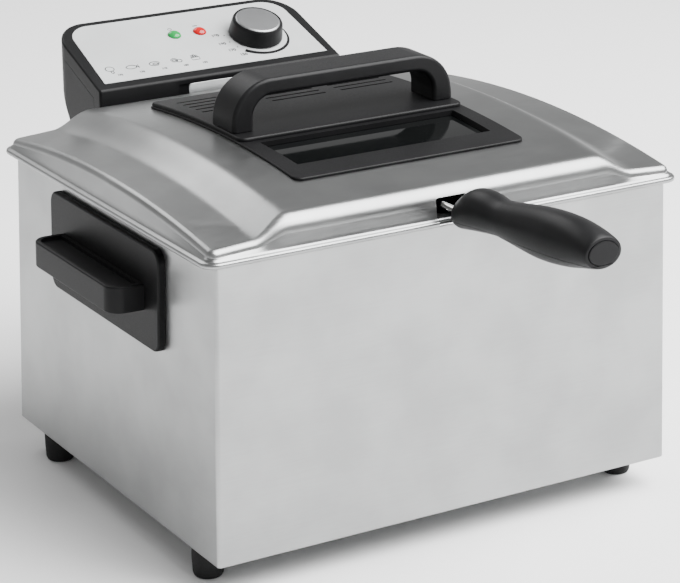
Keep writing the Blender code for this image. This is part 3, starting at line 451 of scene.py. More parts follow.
def makeHousing():
    low, high = boxOf("housing_shell")
    wide, deep = high.x - housing["flare"], high.y - housing["flare"]
    sheet, bend, corner = housing["sheet"], housing["topRadius"], housing["corner"]
    foot = housing["flare"]
    rings = []

    def add(inward, z, flare=0.0):
        out = flare - inward
        rings.append(ringOf(wide + out, deep + out, max(corner - inward, 0.6), z, 10))

    add(housing["hem"], low.z + sheet, foot)
    add(housing["hem"], low.z, foot)
    for across, along in quarterFalls(3):
        add(sheet * along, low.z + sheet * across, foot)
    for share in (0.985, 0.9, 0.1, 0.015):
        add(0.0, low.z + (high.z - low.z) * (1 - share), foot * share)
    for across, along in quarterFalls(5):
        add(bend * across, high.z - bend * along)
    add(housing["flange"], high.z)
    add(housing["flange"], high.z - sheet)
    add(sheet + 0.8, high.z - sheet)
    add(sheet, high.z - sheet - 1.0)
    add(sheet, low.z + sheet + 1, foot)
    bm = lofted(rings, loop=True)
    place(bm, "housingSkin", "brushedHousing", "housing", ["housing_shell"], "stainless")


makeHousing()

foot = {"rounding": 0.9, "waist": 0.7}


def makeFoot(node, name):
    low, high = boxOf(node)
    centre = (low + high) / 2
    radius = (high.x - low.x) / 2
    rise = high.z
    base = low.z
    outside = [
        (2.4, rise), (radius, rise), (radius - 0.2, base + 12), (radius - foot["waist"], base + 2.2),
        (radius - 1.8, base), (4.4, base), (4.4, 6.0), (2.4, 6.0),
    ]
    bm = turnedShape(softened(outside, foot["rounding"]), 56, closed=True)
    moved(bm, Matrix.Translation((centre.x, centre.y, 0)))
    place(bm, name, "footRubber", "housing", [node], "rubber")


for corner in ("front_left", "front_right", "rear_left", "rear_right"):
    makeFoot("foot_" + corner, "rubberFoot_" + corner)

sideHandle = {
    "plateCorner": 8.5, "plateEdge": 1.5, "gripCorner": 11.0, "gripEdge": 1.4, "rim": 3.2, "sunk": 2.6,
    "wallX": 175.97, "wallHeight": 204.0, "height": 173.0,
}


def makeSideHandle(side, label):
    plateLow, plateHigh = boxOf("side_handle_plate_" + label)
    gripLow, gripHigh = boxOf("side_handle_grip_" + label)
    # Both lean with the wall, so they are laid out square and turned about the wall's line.
    lean = math.atan2(housing["flare"], sideHandle["wallHeight"])
    turn = Matrix.Translation((side * sideHandle["wallX"], 0, sideHandle["height"]))
    turn = turn @ Matrix.Rotation(-side * lean, 4, "Y")

    def out(low, high):
        xs = sorted((side * low[0], side * high[0]))
        return (xs[0], low[1], low[2]), (xs[1], high[1], high[2])

    length = (plateHigh.y - plateLow.y) / 2
    plate = block(*out((0.3, -length, -35.0), (5.5, length, 35.0)), sideHandle["plateCorner"], 8, 0)
    roundEdges(plate, lambda p: abs(p.x) > 5.4, sideHandle["plateEdge"], 4)
    place(moved(plate, turn), "handlePlate_" + label, "blackPlastic", "housing",
          ["side_handle_plate_" + label], "black_plastic")

    half = (gripHigh.y - gripLow.y) / 2
    grip = block(*out((5.8, -half, -10.0), (30.0, half, 8.5)))
    bevel(grip, edgesAlong(grip, 2, lambda p: abs(p.x) > 29.9), sideHandle["gripCorner"], 10)
    roundEdges(grip, lambda p: abs(p.x) > 6.0, sideHandle["gripEdge"], 3)
    # The top is dished inside a raised rim, and the finger pocket opens below.
    reach = half - 4.2
    dish = block(*out((9.0, -reach, 8.5 - sideHandle["sunk"]), (30.0 - sideHandle["rim"], reach, 20.0)))
    bevel(dish, edgesAlong(dish, 2, lambda p: abs(p.x) > 20.0), 8.0, 8)
    roundEdges(dish, lambda p: p.z < 9.0 and abs(p.x) > 9.1, 1.2, 2)
    grip = carve(grip, dish)
    pocket = block(*out((9.0, -51.0, -20.0), (25.5, 51.0, 3.6)), 4.0, 5, 1)
    grip = carve(grip, pocket)
    place(moved(grip, turn), "handleGrip_" + label, "blackPlastic", "housing",
          ["side_handle_grip_" + label], "black_plastic")


makeSideHandle(-1, "left")
makeSideHandle(1, "right")
print("deep fryer: housing, feet and side handles made")


lid = {
    "crest": 253.0, "rimTop": 221.0, "endSlope": 1 / 16, "shoulderDrop": 12.0, "shoulderStart": 120.0,
    "shoulderEnd": 148.0, "arch": 943.0, "planCorner": 7.0, "lean": 1.5, "sheet": 0.9, "noseRadius": 10.0,
    "edgeRadius": 4.2, "rimOut": 3.5, "rings": 44, "openingX": 84.0, "openingY": (-98.0, 102.0),
}


lidCrest = lid["crest"]


def smooth(value, low, high):
    t = min(max((value - low) / (high - low), 0.0), 1.0)
    return t * t * (3 - 2 * t)


def lidHeight(x, y):
    step = smooth(abs(x), lid["shoulderStart"], lid["shoulderEnd"])
    fall = max(abs(x) - lid["shoulderEnd"], 0.0) * lid["endSlope"]
    return lidCrest - step * lid["shoulderDrop"] - fall - y * y / (2 * lid["arch"])


def outlinePoints(halfX, halfY, corner, spacing=4.0, steps=8):  # evenly spaced points with their outward ways
    corners = [(1, 1, 0), (-1, 1, 90), (-1, -1, 180), (1, -1, 270)]
    points = []
    for index, (sideX, sideY, start) in enumerate(corners):
        centre = Vector((sideX * (halfX - corner), sideY * (halfY - corner)))
        for way in map(Vector, ways(start, 90, steps)):
            points.append((centre + way * corner, way))
        nextX, nextY, _ = corners[(index + 1) % 4]
        nextCentre = Vector((nextX * (halfX - corner), nextY * (halfY - corner)))
        run = nextCentre - centre
        count = round(run.length / spacing)
        for step in range(1, count):
            points.append((centre + run * step / count + way * corner, way))
    return points


def makeLidShell():
    low, high = boxOf("lid_shell")
    halfX, halfY = high.x - lid["rimOut"], high.y - lid["rimOut"]
    rimTop = lid["rimTop"]
    outline = outlinePoints(halfX, halfY, lid["planCorner"])
    rings = []

    def skirt(share):  # leans in towards the top
        return -lid["lean"] * share

    def filletOf(point):
        raised = 1 - smooth(abs(point.x), lid["shoulderStart"] - 4, lid["shoulderEnd"] + 2)
        front = 1 if abs(point.y) > halfY - 12 else 0
        return lid["edgeRadius"] + (lid["noseRadius"] - lid["edgeRadius"]) * raised * front

    def ringAt(shape):
        rings.append([shape(point, way) for point, way in outline])

    def at(point, way, out, z):
        straight = max(abs(way.x), abs(way.y)) > 0.999
        p = point + way * (out if straight else max(out, 1.0 - lid["planCorner"]))
        return Vector((p.x, p.y, z))

    # From the folded edge inside the rim, round the rim's bead, and up the skirt.
    inside = [
        (-12.0, low.z + 1.9), (-3.4, low.z + 1.9), (-3.0, low.z + 1.4), (-3.0, low.z + 0.5), (-2.4, low.z),
        (2.3, low.z), (3.1, low.z + 0.4), (3.5, low.z + 1.2), (3.5, rimTop - 1.6),
        (3.2, rimTop - 0.7), (2.5, rimTop - 0.1), (1.4, rimTop), (0.5, rimTop + 0.5), (0.0, rimTop + 1.4),
    ]
    for out, z in inside:
        ringAt(lambda point, way, out=out, z=z: at(point, way, out, z))

    def topAt(point, way, inward):
        p = point + way * (-lid["lean"] - inward)
        return p, lidHeight(p.x, p.y)

    for share in (0.25, 0.6, 0.9):
        def rise(point, way, share=share):
            radius = filletOf(point)
            _, top = topAt(point, way, 0.0)
            start = rimTop + 1.4
            z = start + (top - radius - start) * share
            return at(point, way, skirt(share), z)
        ringAt(rise)
    for across, along in quarterFalls(8):
        def bend(point, way, across=across, along=along):
            radius = filletOf(point)
            p, top = topAt(point, way, radius * across)
            return Vector((p.x, p.y, top - radius * along))
        ringAt(bend)
    midY = (lid["openingY"][0] + lid["openingY"][1]) / 2
    reachY = (lid["openingY"][1] - lid["openingY"][0]) / 2
    for step in range(1, lid["rings"] + 1):
        def run(point, way, t=step / lid["rings"]):
            p, _ = topAt(point, way, filletOf(point))
            goal = Vector((point.x / halfX * lid["openingX"], midY + point.y / halfY * reachY))
            q = p.lerp(goal, t)
            return Vector((q.x, q.y, lidHeight(q.x, q.y)))
        ringAt(run)
    bm = lofted(rings)
    # The sheet's inner face follows the outer one a sheet's thickness below it.
    bmesh.ops.recalc_face_normals(bm, faces=bm.faces)
    top = max(bm.faces, key=lambda face: face.calc_center_median().z)
    if top.normal.z < 0:
        bmesh.ops.reverse_faces(bm, faces=bm.faces)
    bmesh.ops.solidify(bm, geom=bm.faces[:] + bm.edges[:] + bm.verts[:], thickness=lid["sheet"])
    slots = block((-12, -halfY - 12, 209), (12, -halfY + 22, 235.4), 2.0, 5, 1)
    addBlock(slots, (-50, halfY - 22, 209), (50, halfY + 12, 230.0))
    bm = carve(bm, slots)
    place(bm, "lidDome", "brushedLidPaintedShade", "lid", ["lid_shell"], "stainless", angle=40)


makeLidShell()


def planeCut(bm, point, way, clear=False):
    return bmesh.ops.bisect_plane(
        bm, geom=bm.verts[:] + bm.edges[:] + bm.faces[:], dist=0.0001, clear_outer=clear, plane_co=point,
        plane_no=way)


def cutOff(bm, point, way):  # clears what lies beyond a plane and closes the cut
    made = planeCut(bm, point, way, True)
    rim = [item for item in made["geom_cut"] if isinstance(item, bmesh.types.BMEdge)]
    bmesh.ops.holes_fill(bm, edges=rim, sides=0)


def bentToArch(bm, spacing=8.0):  # cuts a flat piece across and bends it over the lid's arch
    low = min(vert.co.y for vert in bm.verts)
    high = max(vert.co.y for vert in bm.verts)
    count = max(1, round((high - low) / spacing))
    for step in range(1, count):
        planeCut(bm, (0, low + (high - low) * step / count, 0), (0, 1, 0))
    for vert in bm.verts:
        vert.co.z -= vert.co.y * vert.co.y / (2 * lid["arch"])
    return bm


insert = {
    "halfX": 90.0, "y": (-104.0, 108.0), "corner": 6.0, "edge": 0.9, "windowX": 75.0,
    "windowY": (-81.0, -33.0), "windowSlope": 2.5, "coverX": 89.4, "coverY": (-28.0, 107.4),
    "coverCorner": 6.0, "louvreWidth": 2.4,
}


def louvreCutter():
    bm = bmesh.new()
    for row in range(5):
        for column in (-1, 0, 1):
            x, y = column * 56.0, 48.5 + 9.6 * row
            half = insert["louvreWidth"] / 2
            addBlock(bm, (x - 22, y - half, lidCrest - 15), (x + 22, y + half, lidCrest + 20))
    bevel(bm, edgesAlong(bm, 2), 1.1, 4)
    return bm


def makeInsert():
    frameTop = lidCrest + 1.8
    frontY, rearY = insert["y"]
    halfX = insert["halfX"]
    bm = block((-halfX, frontY, lidCrest + 0.3), (halfX, rearY, frameTop), insert["corner"], 8)
    roundEdges(bm, lambda p: p.z > frameTop - 0.1, insert["edge"], 3)
    bm = bentToArch(bm)
    openX, (openFront, openRear) = lid["openingX"], lid["openingY"]
    openX -= 0.6
    collar = block((-openX, openFront + 0.6, lidCrest - 8), (openX, openRear - 0.6, lidCrest + 1.2), 7.0, 6)
    bm = carve(bm, bentToArch(collar), "UNION")
    front, back = insert["windowY"]
    x = insert["windowX"]
    # The window's front and sides slope down to the pane, wider at the top.
    rings = []
    flare = insert["windowSlope"]
    for rise, grow in ((-30.0, 0.0), (-4.6, 0.0), (2.4, flare), (20.0, flare)):
        wide, near, z = x + grow, front - grow * 0.7, lidCrest + rise
        corners = ((-wide, near), (wide, near), (wide, back), (-wide, back))
        rings.append([Vector((a, b, z)) for a, b in corners])
    bm = carve(bm, lofted(rings, caps=True))
    rear = block((-71.5, insert["coverY"][0] + 6, lidCrest - 30), (71.5, openRear - 5, lidCrest + 20))
    bm = carve(bm, rear)
    rebate = block((-x - 4, front - 5, lidCrest - 30), (x + 4, back + 8, lidCrest - 1.6))
    bm = carve(bm, bentToArch(rebate, 15))
    place(bm, "insertFrame", "blackPlastic", "lid", ["lid_insert_frame"], "black_plastic")

    pane = block((-x - 3.5, front - 4.5, lidCrest - 5.2), (x + 3.5, back + 7.5, lidCrest - 1.9), 3.0, 5)
    roundEdges(pane, lambda p: p.z > lidCrest - 2.0, 0.5, 2)
    place(bentToArch(pane, 6), "windowPane", "tintedGlassPaintedShade", "lid", ["window_glass"], "dark_glass")

    coverTop = frameTop + 2.6
    cover = block((-insert["coverX"], insert["coverY"][0], frameTop + 0.3),
                  (insert["coverX"], insert["coverY"][1], coverTop), insert["coverCorner"], 6)
    roundEdges(cover, lambda p: p.z > coverTop - 0.1, 1.5, 4)
    cover = carve(bentToArch(cover), louvreCutter())
    place(cover, "filterCover", "blackPlastic", "lid", ["filter_cover"], "black_plastic")


makeInsert()

arch = {"edge": 3.0, "outer": 30.0, "inner": 15.0, "thick": 11.5, "leg": 16.0}


def archOutline(half, low, top, steps=14):
    outer, inner = arch["outer"], arch["inner"]
    outside = [(half, low)] + arcOf(half - outer, top - outer, outer, 0, 90, steps)
    outside += arcOf(outer - half, top - outer, outer, 90, 90, steps) + [(-half, low)]
    side, under = half - arch["leg"], top - arch["thick"]
    inside = [(-side, low)] + arcOf(inner - side, under - inner, inner, 180, -90, steps)
    inside += arcOf(side - inner, under - inner, inner, 90, -90, steps) + [(side, low)]
    return outside + inside


def makeLidHandle():
    low, high = boxOf("lid_handle")
    outline = archOutline(high.x, low.z, high.z)
    half = (high.y - low.y) / 2
    bm = extruded(outline, -half, half)
    moved(bm, Matrix.Rotation(math.pi / 2, 4, "X"))
    bmesh.ops.recalc_face_normals(bm, faces=bm.faces)
    roundEdges(bm, lambda p: p.z > low.z + 0.5 and abs(p.y) > half - 0.1, arch["edge"], 5, 1.2)
    place(bm, "lidArchHandle", "gripPlastic", "lid", ["lid_handle"], "black_plastic", angle=40)


makeLidHandle()

tongue = {"corner": 3.0, "edge": 0.35}


def makeTongue():
    low, high = boxOf("lid_rear_tab")
    bm = block(low, high, tongue["corner"], 6, 1)
    roundEdges(bm, lambda p: True, tongue["edge"], 3, 1.2)
    place(bm, "lidTongue", "stampedStainless", "lid", ["lid_rear_tab"], "stainless")


makeTongue()
print("deep fryer: lid made")


control = {
    "halfFront": 102.0, "halfRear": 100.0, "front": 162.0, "rear": 248.5, "bottom": 163.0, "rearCorner": 25.0,
    "edge": 2.0, "bezelDepth": 11.0, "wall": 2.5, "parting": 0.35, "lip": 229.0,
}
panelAngle = math.radians(19.0)
panelZ = 248.3
panelFrame = Matrix.Translation((0, control["front"], panelZ)) @ Matrix.Rotation(panelAngle, 4, "X")
# Turns an outline's X and Y into Y and Z.
sideTurn = Matrix(((0, 0, 1, 0), (1, 0, 0, 0), (0, 1, 0, 0), (0, 0, 0, 1)))


# The casing's lower rear slope: its top edge, the ways down it and out of it, and the turn that faces it.
slopeTop = Vector((0, 230.0, 226.0))
slopeRun, slopeFall = 11.4, 15.6
slopeDown = Vector((0, -slopeRun, -slopeFall)).normalized()
slopeOut = Vector((0, slopeFall, -slopeRun)).normalized()
slopeTurn = Matrix.Rotation(-math.pi / 2 - math.atan2(slopeRun, slopeFall), 4, "X")


def onSlope(across, down):
    return Matrix.Translation(Vector((across, 0, 0)) + slopeTop + slopeDown * down) @ slopeTurn


def controlSolid(inset=0.0):
    front, rear = control["front"] + inset, control["rear"] - inset
    bm = bmesh.new()
    addBlock(bm, (-control["halfFront"] + inset, front, control["bottom"] + inset),
             (control["halfFront"] - inset, rear, 300))
    for vert in bm.verts:
        if vert.co.y > rear - 1:
            vert.co.x *= (control["halfRear"] - inset) / (control["halfFront"] - inset)
    bevel(bm, edgesAlong(bm, 2, lambda p: p.y > rear - 1), control["rearCorner"] - inset, 12)
    up = Vector((0, -math.sin(panelAngle), math.cos(panelAngle)))
    cutOff(bm, Vector((0, control["front"], panelZ)) - up * inset, up)
    cutOff(bm, slopeTop - slopeOut * inset, slopeOut)
    if not inset:
        bmesh.ops.recalc_face_normals(bm, faces=bm.faces)
        bevel(bm, [edge for edge in bm.edges if edge.calc_face_angle() > 0.5], control["edge"], 4)
    return bm


def bezelRegion(clear=0.0):
    front = control["front"] + control["bezelDepth"] + clear
    below = control["bezelDepth"] / math.cos(panelAngle) + clear
    rise = math.tan(panelAngle)
    knee = panelZ + (front - control["front"]) * rise - below
    far = 262.0
    outline = [(150, control["lip"] - clear), (front, control["lip"] - clear), (front, knee),
               (far, panelZ + (far - control["front"]) * rise - below), (far, 300), (150, 300)]
    return moved(extruded(outline, -115, 115), sideTurn)


def panelOutline(grow=0.0, steps=12):
    low, high = 8.0 - grow, 85.5 + grow
    wide, narrow, corner = 94.0 + grow, 91.0 + grow, 18.0 + grow
    outline = [(-wide, low), (wide, low)]
    for side, start in ((1, 0), (-1, 90)):
        outline += arcOf(side * (narrow - corner), high - corner, corner, start, 90, steps)
    return outline


knobAt = Vector((49.5, 42.0, 0.0))
lensesAt = {"green": Vector((-12.5, 57.0, 0.0)), "red": Vector((9.0, 57.0, 0.0))}


def makeControlBox():
    bezel = carve(controlSolid(), bezelRegion(), "INTERSECT")
    casing = carve(controlSolid(), bezelRegion(control["parting"]))
    bezel = carve(bezel, controlSolid(control["wall"]))
    casing = carve(casing, controlSolid(control["wall"]))
    bezel = carve(bezel, moved(extruded(panelOutline(0.3), -0.9, 6.0), panelFrame))
    holes = bmesh.new()
    cylinder(holes, knobAt, 4.3, 12.0)
    for spot in lensesAt.values():
        cylinder(holes, spot, 5.0, 12.0)
    bezel = carve(bezel, moved(holes.copy(), panelFrame))
    panel = extruded(panelOutline(), -0.6, 0.15)
    panel = carve(panel, holes)
    notch = bmesh.new()
    addBlock(notch, (-44, control["front"] - 6, 218.2), (44, control["front"] + 9, 236))
    for x in (-60, 60):
        addBlock(notch, (x - 7, control["front"] - 6, 155), (x + 7, control["front"] + 7, 214))
    cylinder(notch, (0, control["front"], 184), 2.9, 12.0, "Y")
    cylinder(notch, (-58, control["rear"], 258.5), 3.9, 12.0, "Y")
    casing = carve(casing, notch)
    for across, down, radius in ((-80, 12, 2.2), (80, 12, 2.2), (60, 32, 7.3)):
        drill = bmesh.new()
        cylinder(drill, (0, 0, 0), radius, 16.0)
        casing = carve(casing, moved(drill, onSlope(across, down)))
    # A recess in the bezel's lip leaves room for the lid's tongue.
    lip = block((-37, control["front"] - 6, 220), (37, control["front"] + 1.6, 244))
    bezel = carve(bezel, lip)
    place(bezel, "controlBezel", "blackPlastic", "control_unit", ["control_bezel"], "black_plastic")
    place(casing, "controlCasing", "blackPlastic", "control_unit", ["control_casing"], "black_plastic")
    moved(panel, panelFrame)
    place(panel, "printedPanel", "printedPanel", "control_unit", ["fascia_panel"], "silver_panel")


makeControlBox()

knob = {"rounding": 0.7, "capRounding": 0.5}


def makeKnob():
    where = panelFrame @ Matrix.Translation(knobAt)
    section = [
        (3.4, 1.6), (3.4, 12.6), (17.6, 12.6), (17.6, 13.9), (18.6, 13.9), (19.4, 12.4), (20.9, 0.9),
        (19.4, 0.9), (17.4, 10.2), (6.2, 10.2), (6.2, 1.6), (3.4, 1.6),
    ]
    body = turnedShape(softened(section, knob["rounding"], 4)[:-1], 96, closed=True)
    place(moved(body, where), "knobBody", "gripPlastic", "knob", ["knob"], "black_plastic", angle=45)
    section = [(0, 14.3), (16.2, 14.3), (17.3, 13.5), (17.3, 12.9), (0, 12.9)]
    cap = turnedShape(softened(section, knob["capRounding"], 4), 96)
    place(moved(cap, where), "knobCap", "anodisedCap", "knob", ["knob_cap"], "cap_metal", angle=25)
    for colour, spot in lensesAt.items():
        dome = [(0, 3.0), (2.6, 2.75), (4.4, 1.8), (5.3, 0.5), (4.7, 0.5), (4.7, -7), (0, -7)]
        name = colour + "Lens"
        bulb = moved(turnedShape(softened(dome, 0.5), 48), panelFrame @ Matrix.Translation(spot))
        place(bulb, name, name, "control_unit", ["lens_" + colour], colour + "_lens", angle=60)


makeKnob()

printing = {
    "height": 0.06, "ink": 0.16, "arcRadius": 25.6, "arcWide": 4.2, "arcThin": 1.1, "figures": 4.2,
    "heavier": 0.12, "stroke": 0.65,
}


def arcBand(centre, radius, start, end, wide, thin, steps=60):  # a printed band that thins along its way
    inner, outer = [], []
    for step in range(steps + 1):
        t = step / steps
        angle = math.radians(start + (end - start) * t)
        half = (wide + (thin - wide) * t) / 2
        way = Vector((math.cos(angle), math.sin(angle)))
        inner.append(centre.xy + way * (radius - half))
        outer.append(centre.xy + way * (radius + half))
    return [(p.x, p.y) for p in outer + inner[::-1]]


def onPanel(bm, name, ink="printInk"):
    place(moved(bm, panelFrame), name, ink, "control_unit", (), "silver_panel", weighted=False)


def printed(outline, name):
    onPanel(extruded(outline, printing["ink"], printing["ink"] + printing["height"]), name)


def textOn(words, name, x, y, size, ink="printInk"):  # figures from Blender's own font, as raised print
    data = bpy.data.curves.new(name, "FONT")
    data.body = words
    data.size = size
    data.align_x = "CENTER"
    data.extrude = printing["height"] / 2
    data.offset = printing["heavier"]
    bm = finalShape(linked(name, data))
    bmesh.ops.translate(bm, vec=(x, y, printing["ink"] + printing["height"] / 2), verts=bm.verts)
    bmesh.ops.remove_doubles(bm, verts=bm.verts, dist=0.0005)
    onPanel(bm, name, ink)


def lineArt(strokes, name, x, y, width=printing["stroke"], ink="paleInk"):  # a picture of closed strokes
    bm = bmesh.new()
    z = printing["ink"] + width / 4
    for stroke in strokes:
        addTube(bm, [Vector((x + px, y + py, z)) for px, py in stroke], width / 2, 6, closed=True)
    for vert in bm.verts:
        vert.co.z = printing["ink"] + (vert.co.z - printing["ink"]) * 0.4
    onPanel(bm, name, ink)


def oval(x, y, halfX, halfY, steps=20, start=0, turn=360):
    return [(x + halfX * c, y + halfY * s) for c, s in ways(start, turn, steps)[:-1]]


def makePrinting():
    band = arcBand(knobAt, printing["arcRadius"], -135, 10, printing["arcWide"], printing["arcThin"])
    printed(band, "dialArc")
    for figure, angle in (("190", 168), ("180", 190), ("170", 209), ("150", 227)):
        way = Vector((math.cos(math.radians(angle)), math.sin(math.radians(angle))))
        dot = knobAt.xy + way * 25.0
        printed([(dot.x + dx, dot.y + dy) for dx, dy in oval(0, 0, 0.55, 0.55, 16)], "dialDot_" + figure)
        spot = knobAt.xy + way * 31.5
        textOn(figure, "dialFigure_" + figure, spot.x - 0.5, spot.y - 1.2, printing["figures"])
    chips = [[(-3, -2.6), (3, -2.6), (3.6, 0.6), (-3.6, 0.6)]]
    for x, top in ((-2.4, 3.4), (-0.6, 4.2), (1.2, 3.2)):
        chips.append([(x, 0.8), (x + 1.2, 0.8), (x + 1.2, top), (x, top)])
    pictures = {
        "drumstick": [oval(0, 1.4, 3.4, 3.0), oval(0.4, -3.0, 1.0, 1.7)],
        "fish": [oval(-0.8, 0, 4.2, 2.3), [(3.2, 0.2), (5.4, 2.0), (4.9, 0), (5.4, -1.8), (3.2, -0.2)]],
        "shrimp": [oval(0, 0, 4.4, 2.6, 16, 20, 300), oval(0.4, -0.4, 2.2, 1.0)],
        "rings": [oval(-1.4, 0.6, 2.6, 2.4), oval(-1.4, 0.6, 1.3, 1.2), oval(2.2, -0.8, 2.2, 1.8)],
        "chips": chips,
    }
    spots = [-82.0, -64.0, -45.5, -27.5, -11.5]
    figures = ["170", "170", "160", "180", "190"]
    for (name, strokes), x, figure in zip(pictures.items(), spots, figures):
        lineArt(strokes, "picture_" + name, x, 24.0)
        textOn(figure, "pictureFigure_" + name, x + 4.5, 15.4, 2.8, "paleInk")
    # Plain marks for the two lamps: a ring for ready and a bar for power.
    ready, power = lensesAt["green"], lensesAt["red"]
    lineArt([oval(0, 0, 1.4, 1.4)], "lampMark_ready", ready.x, ready.y + 8.6, 0.4, "printInk")
    bar = ((-2, -0.4), (2, -0.4), (2, 0.4), (-2, 0.4))
    printed([(power.x + a, power.y + 8.6 + b) for a, b in bar], "lampMark_power")


makePrinting()


def turnedFitting(section, rounding, steps, where, *placing, closed=False):
    profile = softened(section, rounding)
    bm = turnedShape(profile[:-1] if closed else profile, steps, closed)
    place(moved(bm, where), *placing, angle=50)


def makeRearFittings():
    gland = [
        (4.2, 7.0), (6.0, 7.0), (6.9, 5.6), (8.4, 5.2), (8.6, 3.8), (9.4, 2.2), (9.4, 0.3), (7.0, 0.3),
        (7.0, -6.0), (4.2, -6.0), (4.2, 7.0),
    ]
    turnedFitting(
        gland, 0.5, 48, onSlope(60, 32), "cordGland", "footRubber", "control_unit", ["cord_gland"], "rubber",
        closed=True)
    screw = [(0, 2.2), (3.0, 2.2), (3.9, 1.2), (3.9, 0.4), (1.8, 0.4), (1.8, -9.0), (0, -9.0)]
    for side, label in ((-1, "left"), (1, "right")):
        head = turnedShape(softened(screw, 0.4), 32)
        for long, wide in ((2.3, 0.45), (0.45, 2.3)):
            head = carve(head, block((-long, -wide, 0.9), (long, wide, 3.0)))
        moved(head, onSlope(side * 80, 12))
        node = "casing_screw_" + label
        place(head, "casingScrewHead_" + label, "zincScrew", "control_unit", [node], "screw_steel", angle=50)
    back = Matrix.Rotation(-math.pi / 2, 4, "X")
    button = [
        (0, 8.2), (2.6, 8.0), (3.5, 7.4), (3.5, 2.0), (5.2, 2.0), (5.2, 0.4), (1.5, 0.4), (1.5, -0.2),
        (0, -0.2),
    ]
    # The reset button takes the red lamp lens's finish, so it glows faintly though no lamp lies behind it: a
    # painted glow.
    turnedFitting(
        button, 0.4, 40, Matrix.Translation((-58, 240.0, 258.5)) @ back, "resetButton", "redLens",
        "reset_button", ["reset_button"], "button_plastic")
    pin = [
        (0, 20.2), (2.5, 20.2), (2.5, 16.4), (4.4, 16.4), (4.4, 14.6), (2.5, 14.6), (2.5, 0.8), (1.7, 0),
        (0, 0),
    ]
    turnedFitting(
        pin, 0.4, 32, Matrix.Translation((0, 151.6, 184)) @ back, "interlockPin", "blackPlastic",
        "interlock_plunger", ["interlock_plunger"], "button_plastic")


makeRearFittings()

rail = {"flange": 2.4, "edge": 0.8}


def makeRails():
    for label in ("left", "right"):
        low, high = boxOf("control_rail_" + label)
        bm = block(low, high)
        roundEdges(bm, lambda p: p.z > high.z - 0.1 and p.y > low.y + 4, 2.5, 5)
        # A groove down each flank leaves a tongue for the control unit to slide on.
        deep = rail["flange"]
        for edge in (low.x, high.x):
            corners = (edge - deep, low.y + 4.5, low.z - 2), (edge + deep, low.y + 8.5, high.z - 6)
            bm = carve(bm, block(*corners))
        node = "control_rail_" + label
        place(bm, "controlRail_" + label, "blackPlastic", "housing", [node], "black_plastic")


makeRails()
print("deep fryer: control unit made")


tank = {
    "corner": 26.0, "floorRadius": 10.0, "sheet": 1.2, "rim": 12.0, "rimCorner": 14.0, "taper": 5.0,
    "markDepth": 0.5,
}


def makeTank():
    low, high = boxOf("oil_tank")
    halfX, halfY = high.x - tank["rim"], high.y - tank["rim"]
    bottom, top = low.z, high.z
    rings = []

    def wall(z, inward=0.0, extra=0.0, corner=tank["corner"]):
        lower = (top - z) / (top - bottom) * tank["taper"]
        rings.append(ringOf(
            halfX - lower - inward + extra, halfY - lower - inward + extra, max(corner - inward, 1.0), z, 12))

    sheet, bend = tank["sheet"], tank["floorRadius"]
    # Outside: floor, rounded heel, wall, and the rim folded out with a rolled lip.
    for reach in (60.0, 14.0):
        wall(bottom, reach)
    for across, along in quarterFalls(7):
        wall(bottom + bend * across, bend * along)
    for z in (bottom + 24, 110.0, 109.6, 112.4, 112.0, 186.0, top - sheet - 3):
        wall(z)
    wall(top - sheet - 0.8, 0.0, 0.6)
    wall(top - sheet, 0.0, 2.4)
    for z, back in ((top - sheet, 0.6), (top - sheet * 0.5, 0.0), (top, 0.6)):
        wall(z, 0.0, tank["rim"] - back, tank["rimCorner"])
    wall(top, 0.0, 3.0)
    wall(top - 0.6, 0.0, 0.8 - sheet)
    wall(top - 3.0, sheet)
    # Inside, with two pressed level lines for the least and the most oil.
    for line in (186.0, 140.0):
        wall(line + 1.2, sheet)
        wall(line + 0.5, sheet + tank["markDepth"])
        wall(line - 0.5, sheet + tank["markDepth"])
        wall(line - 1.2, sheet)
    wall(bottom + bend, sheet)
    inner = bend - sheet
    for across, along in quarterFalls(7)[1:]:
        wall(bottom + sheet + inner * along, sheet + inner * across)
    wall(bottom + sheet, 14.0)
    wall(bottom + sheet, 60.0)
    place(lofted(rings, caps=True), "oilTank", "drawnStainlessPaintedLight", "tank", ["oil_tank"], "stainless")


makeTank()

def placeTube(route, radius, sides, *placing, closed=False):
    bm = bmesh.new()
    addTube(bm, route, radius, sides, closed)
    place(bm, *placing, weighted=False)


element = {"radius": 3.2, "bend": 9.0, "floor": 80.0, "over": 223.0, "legY": 122.5}


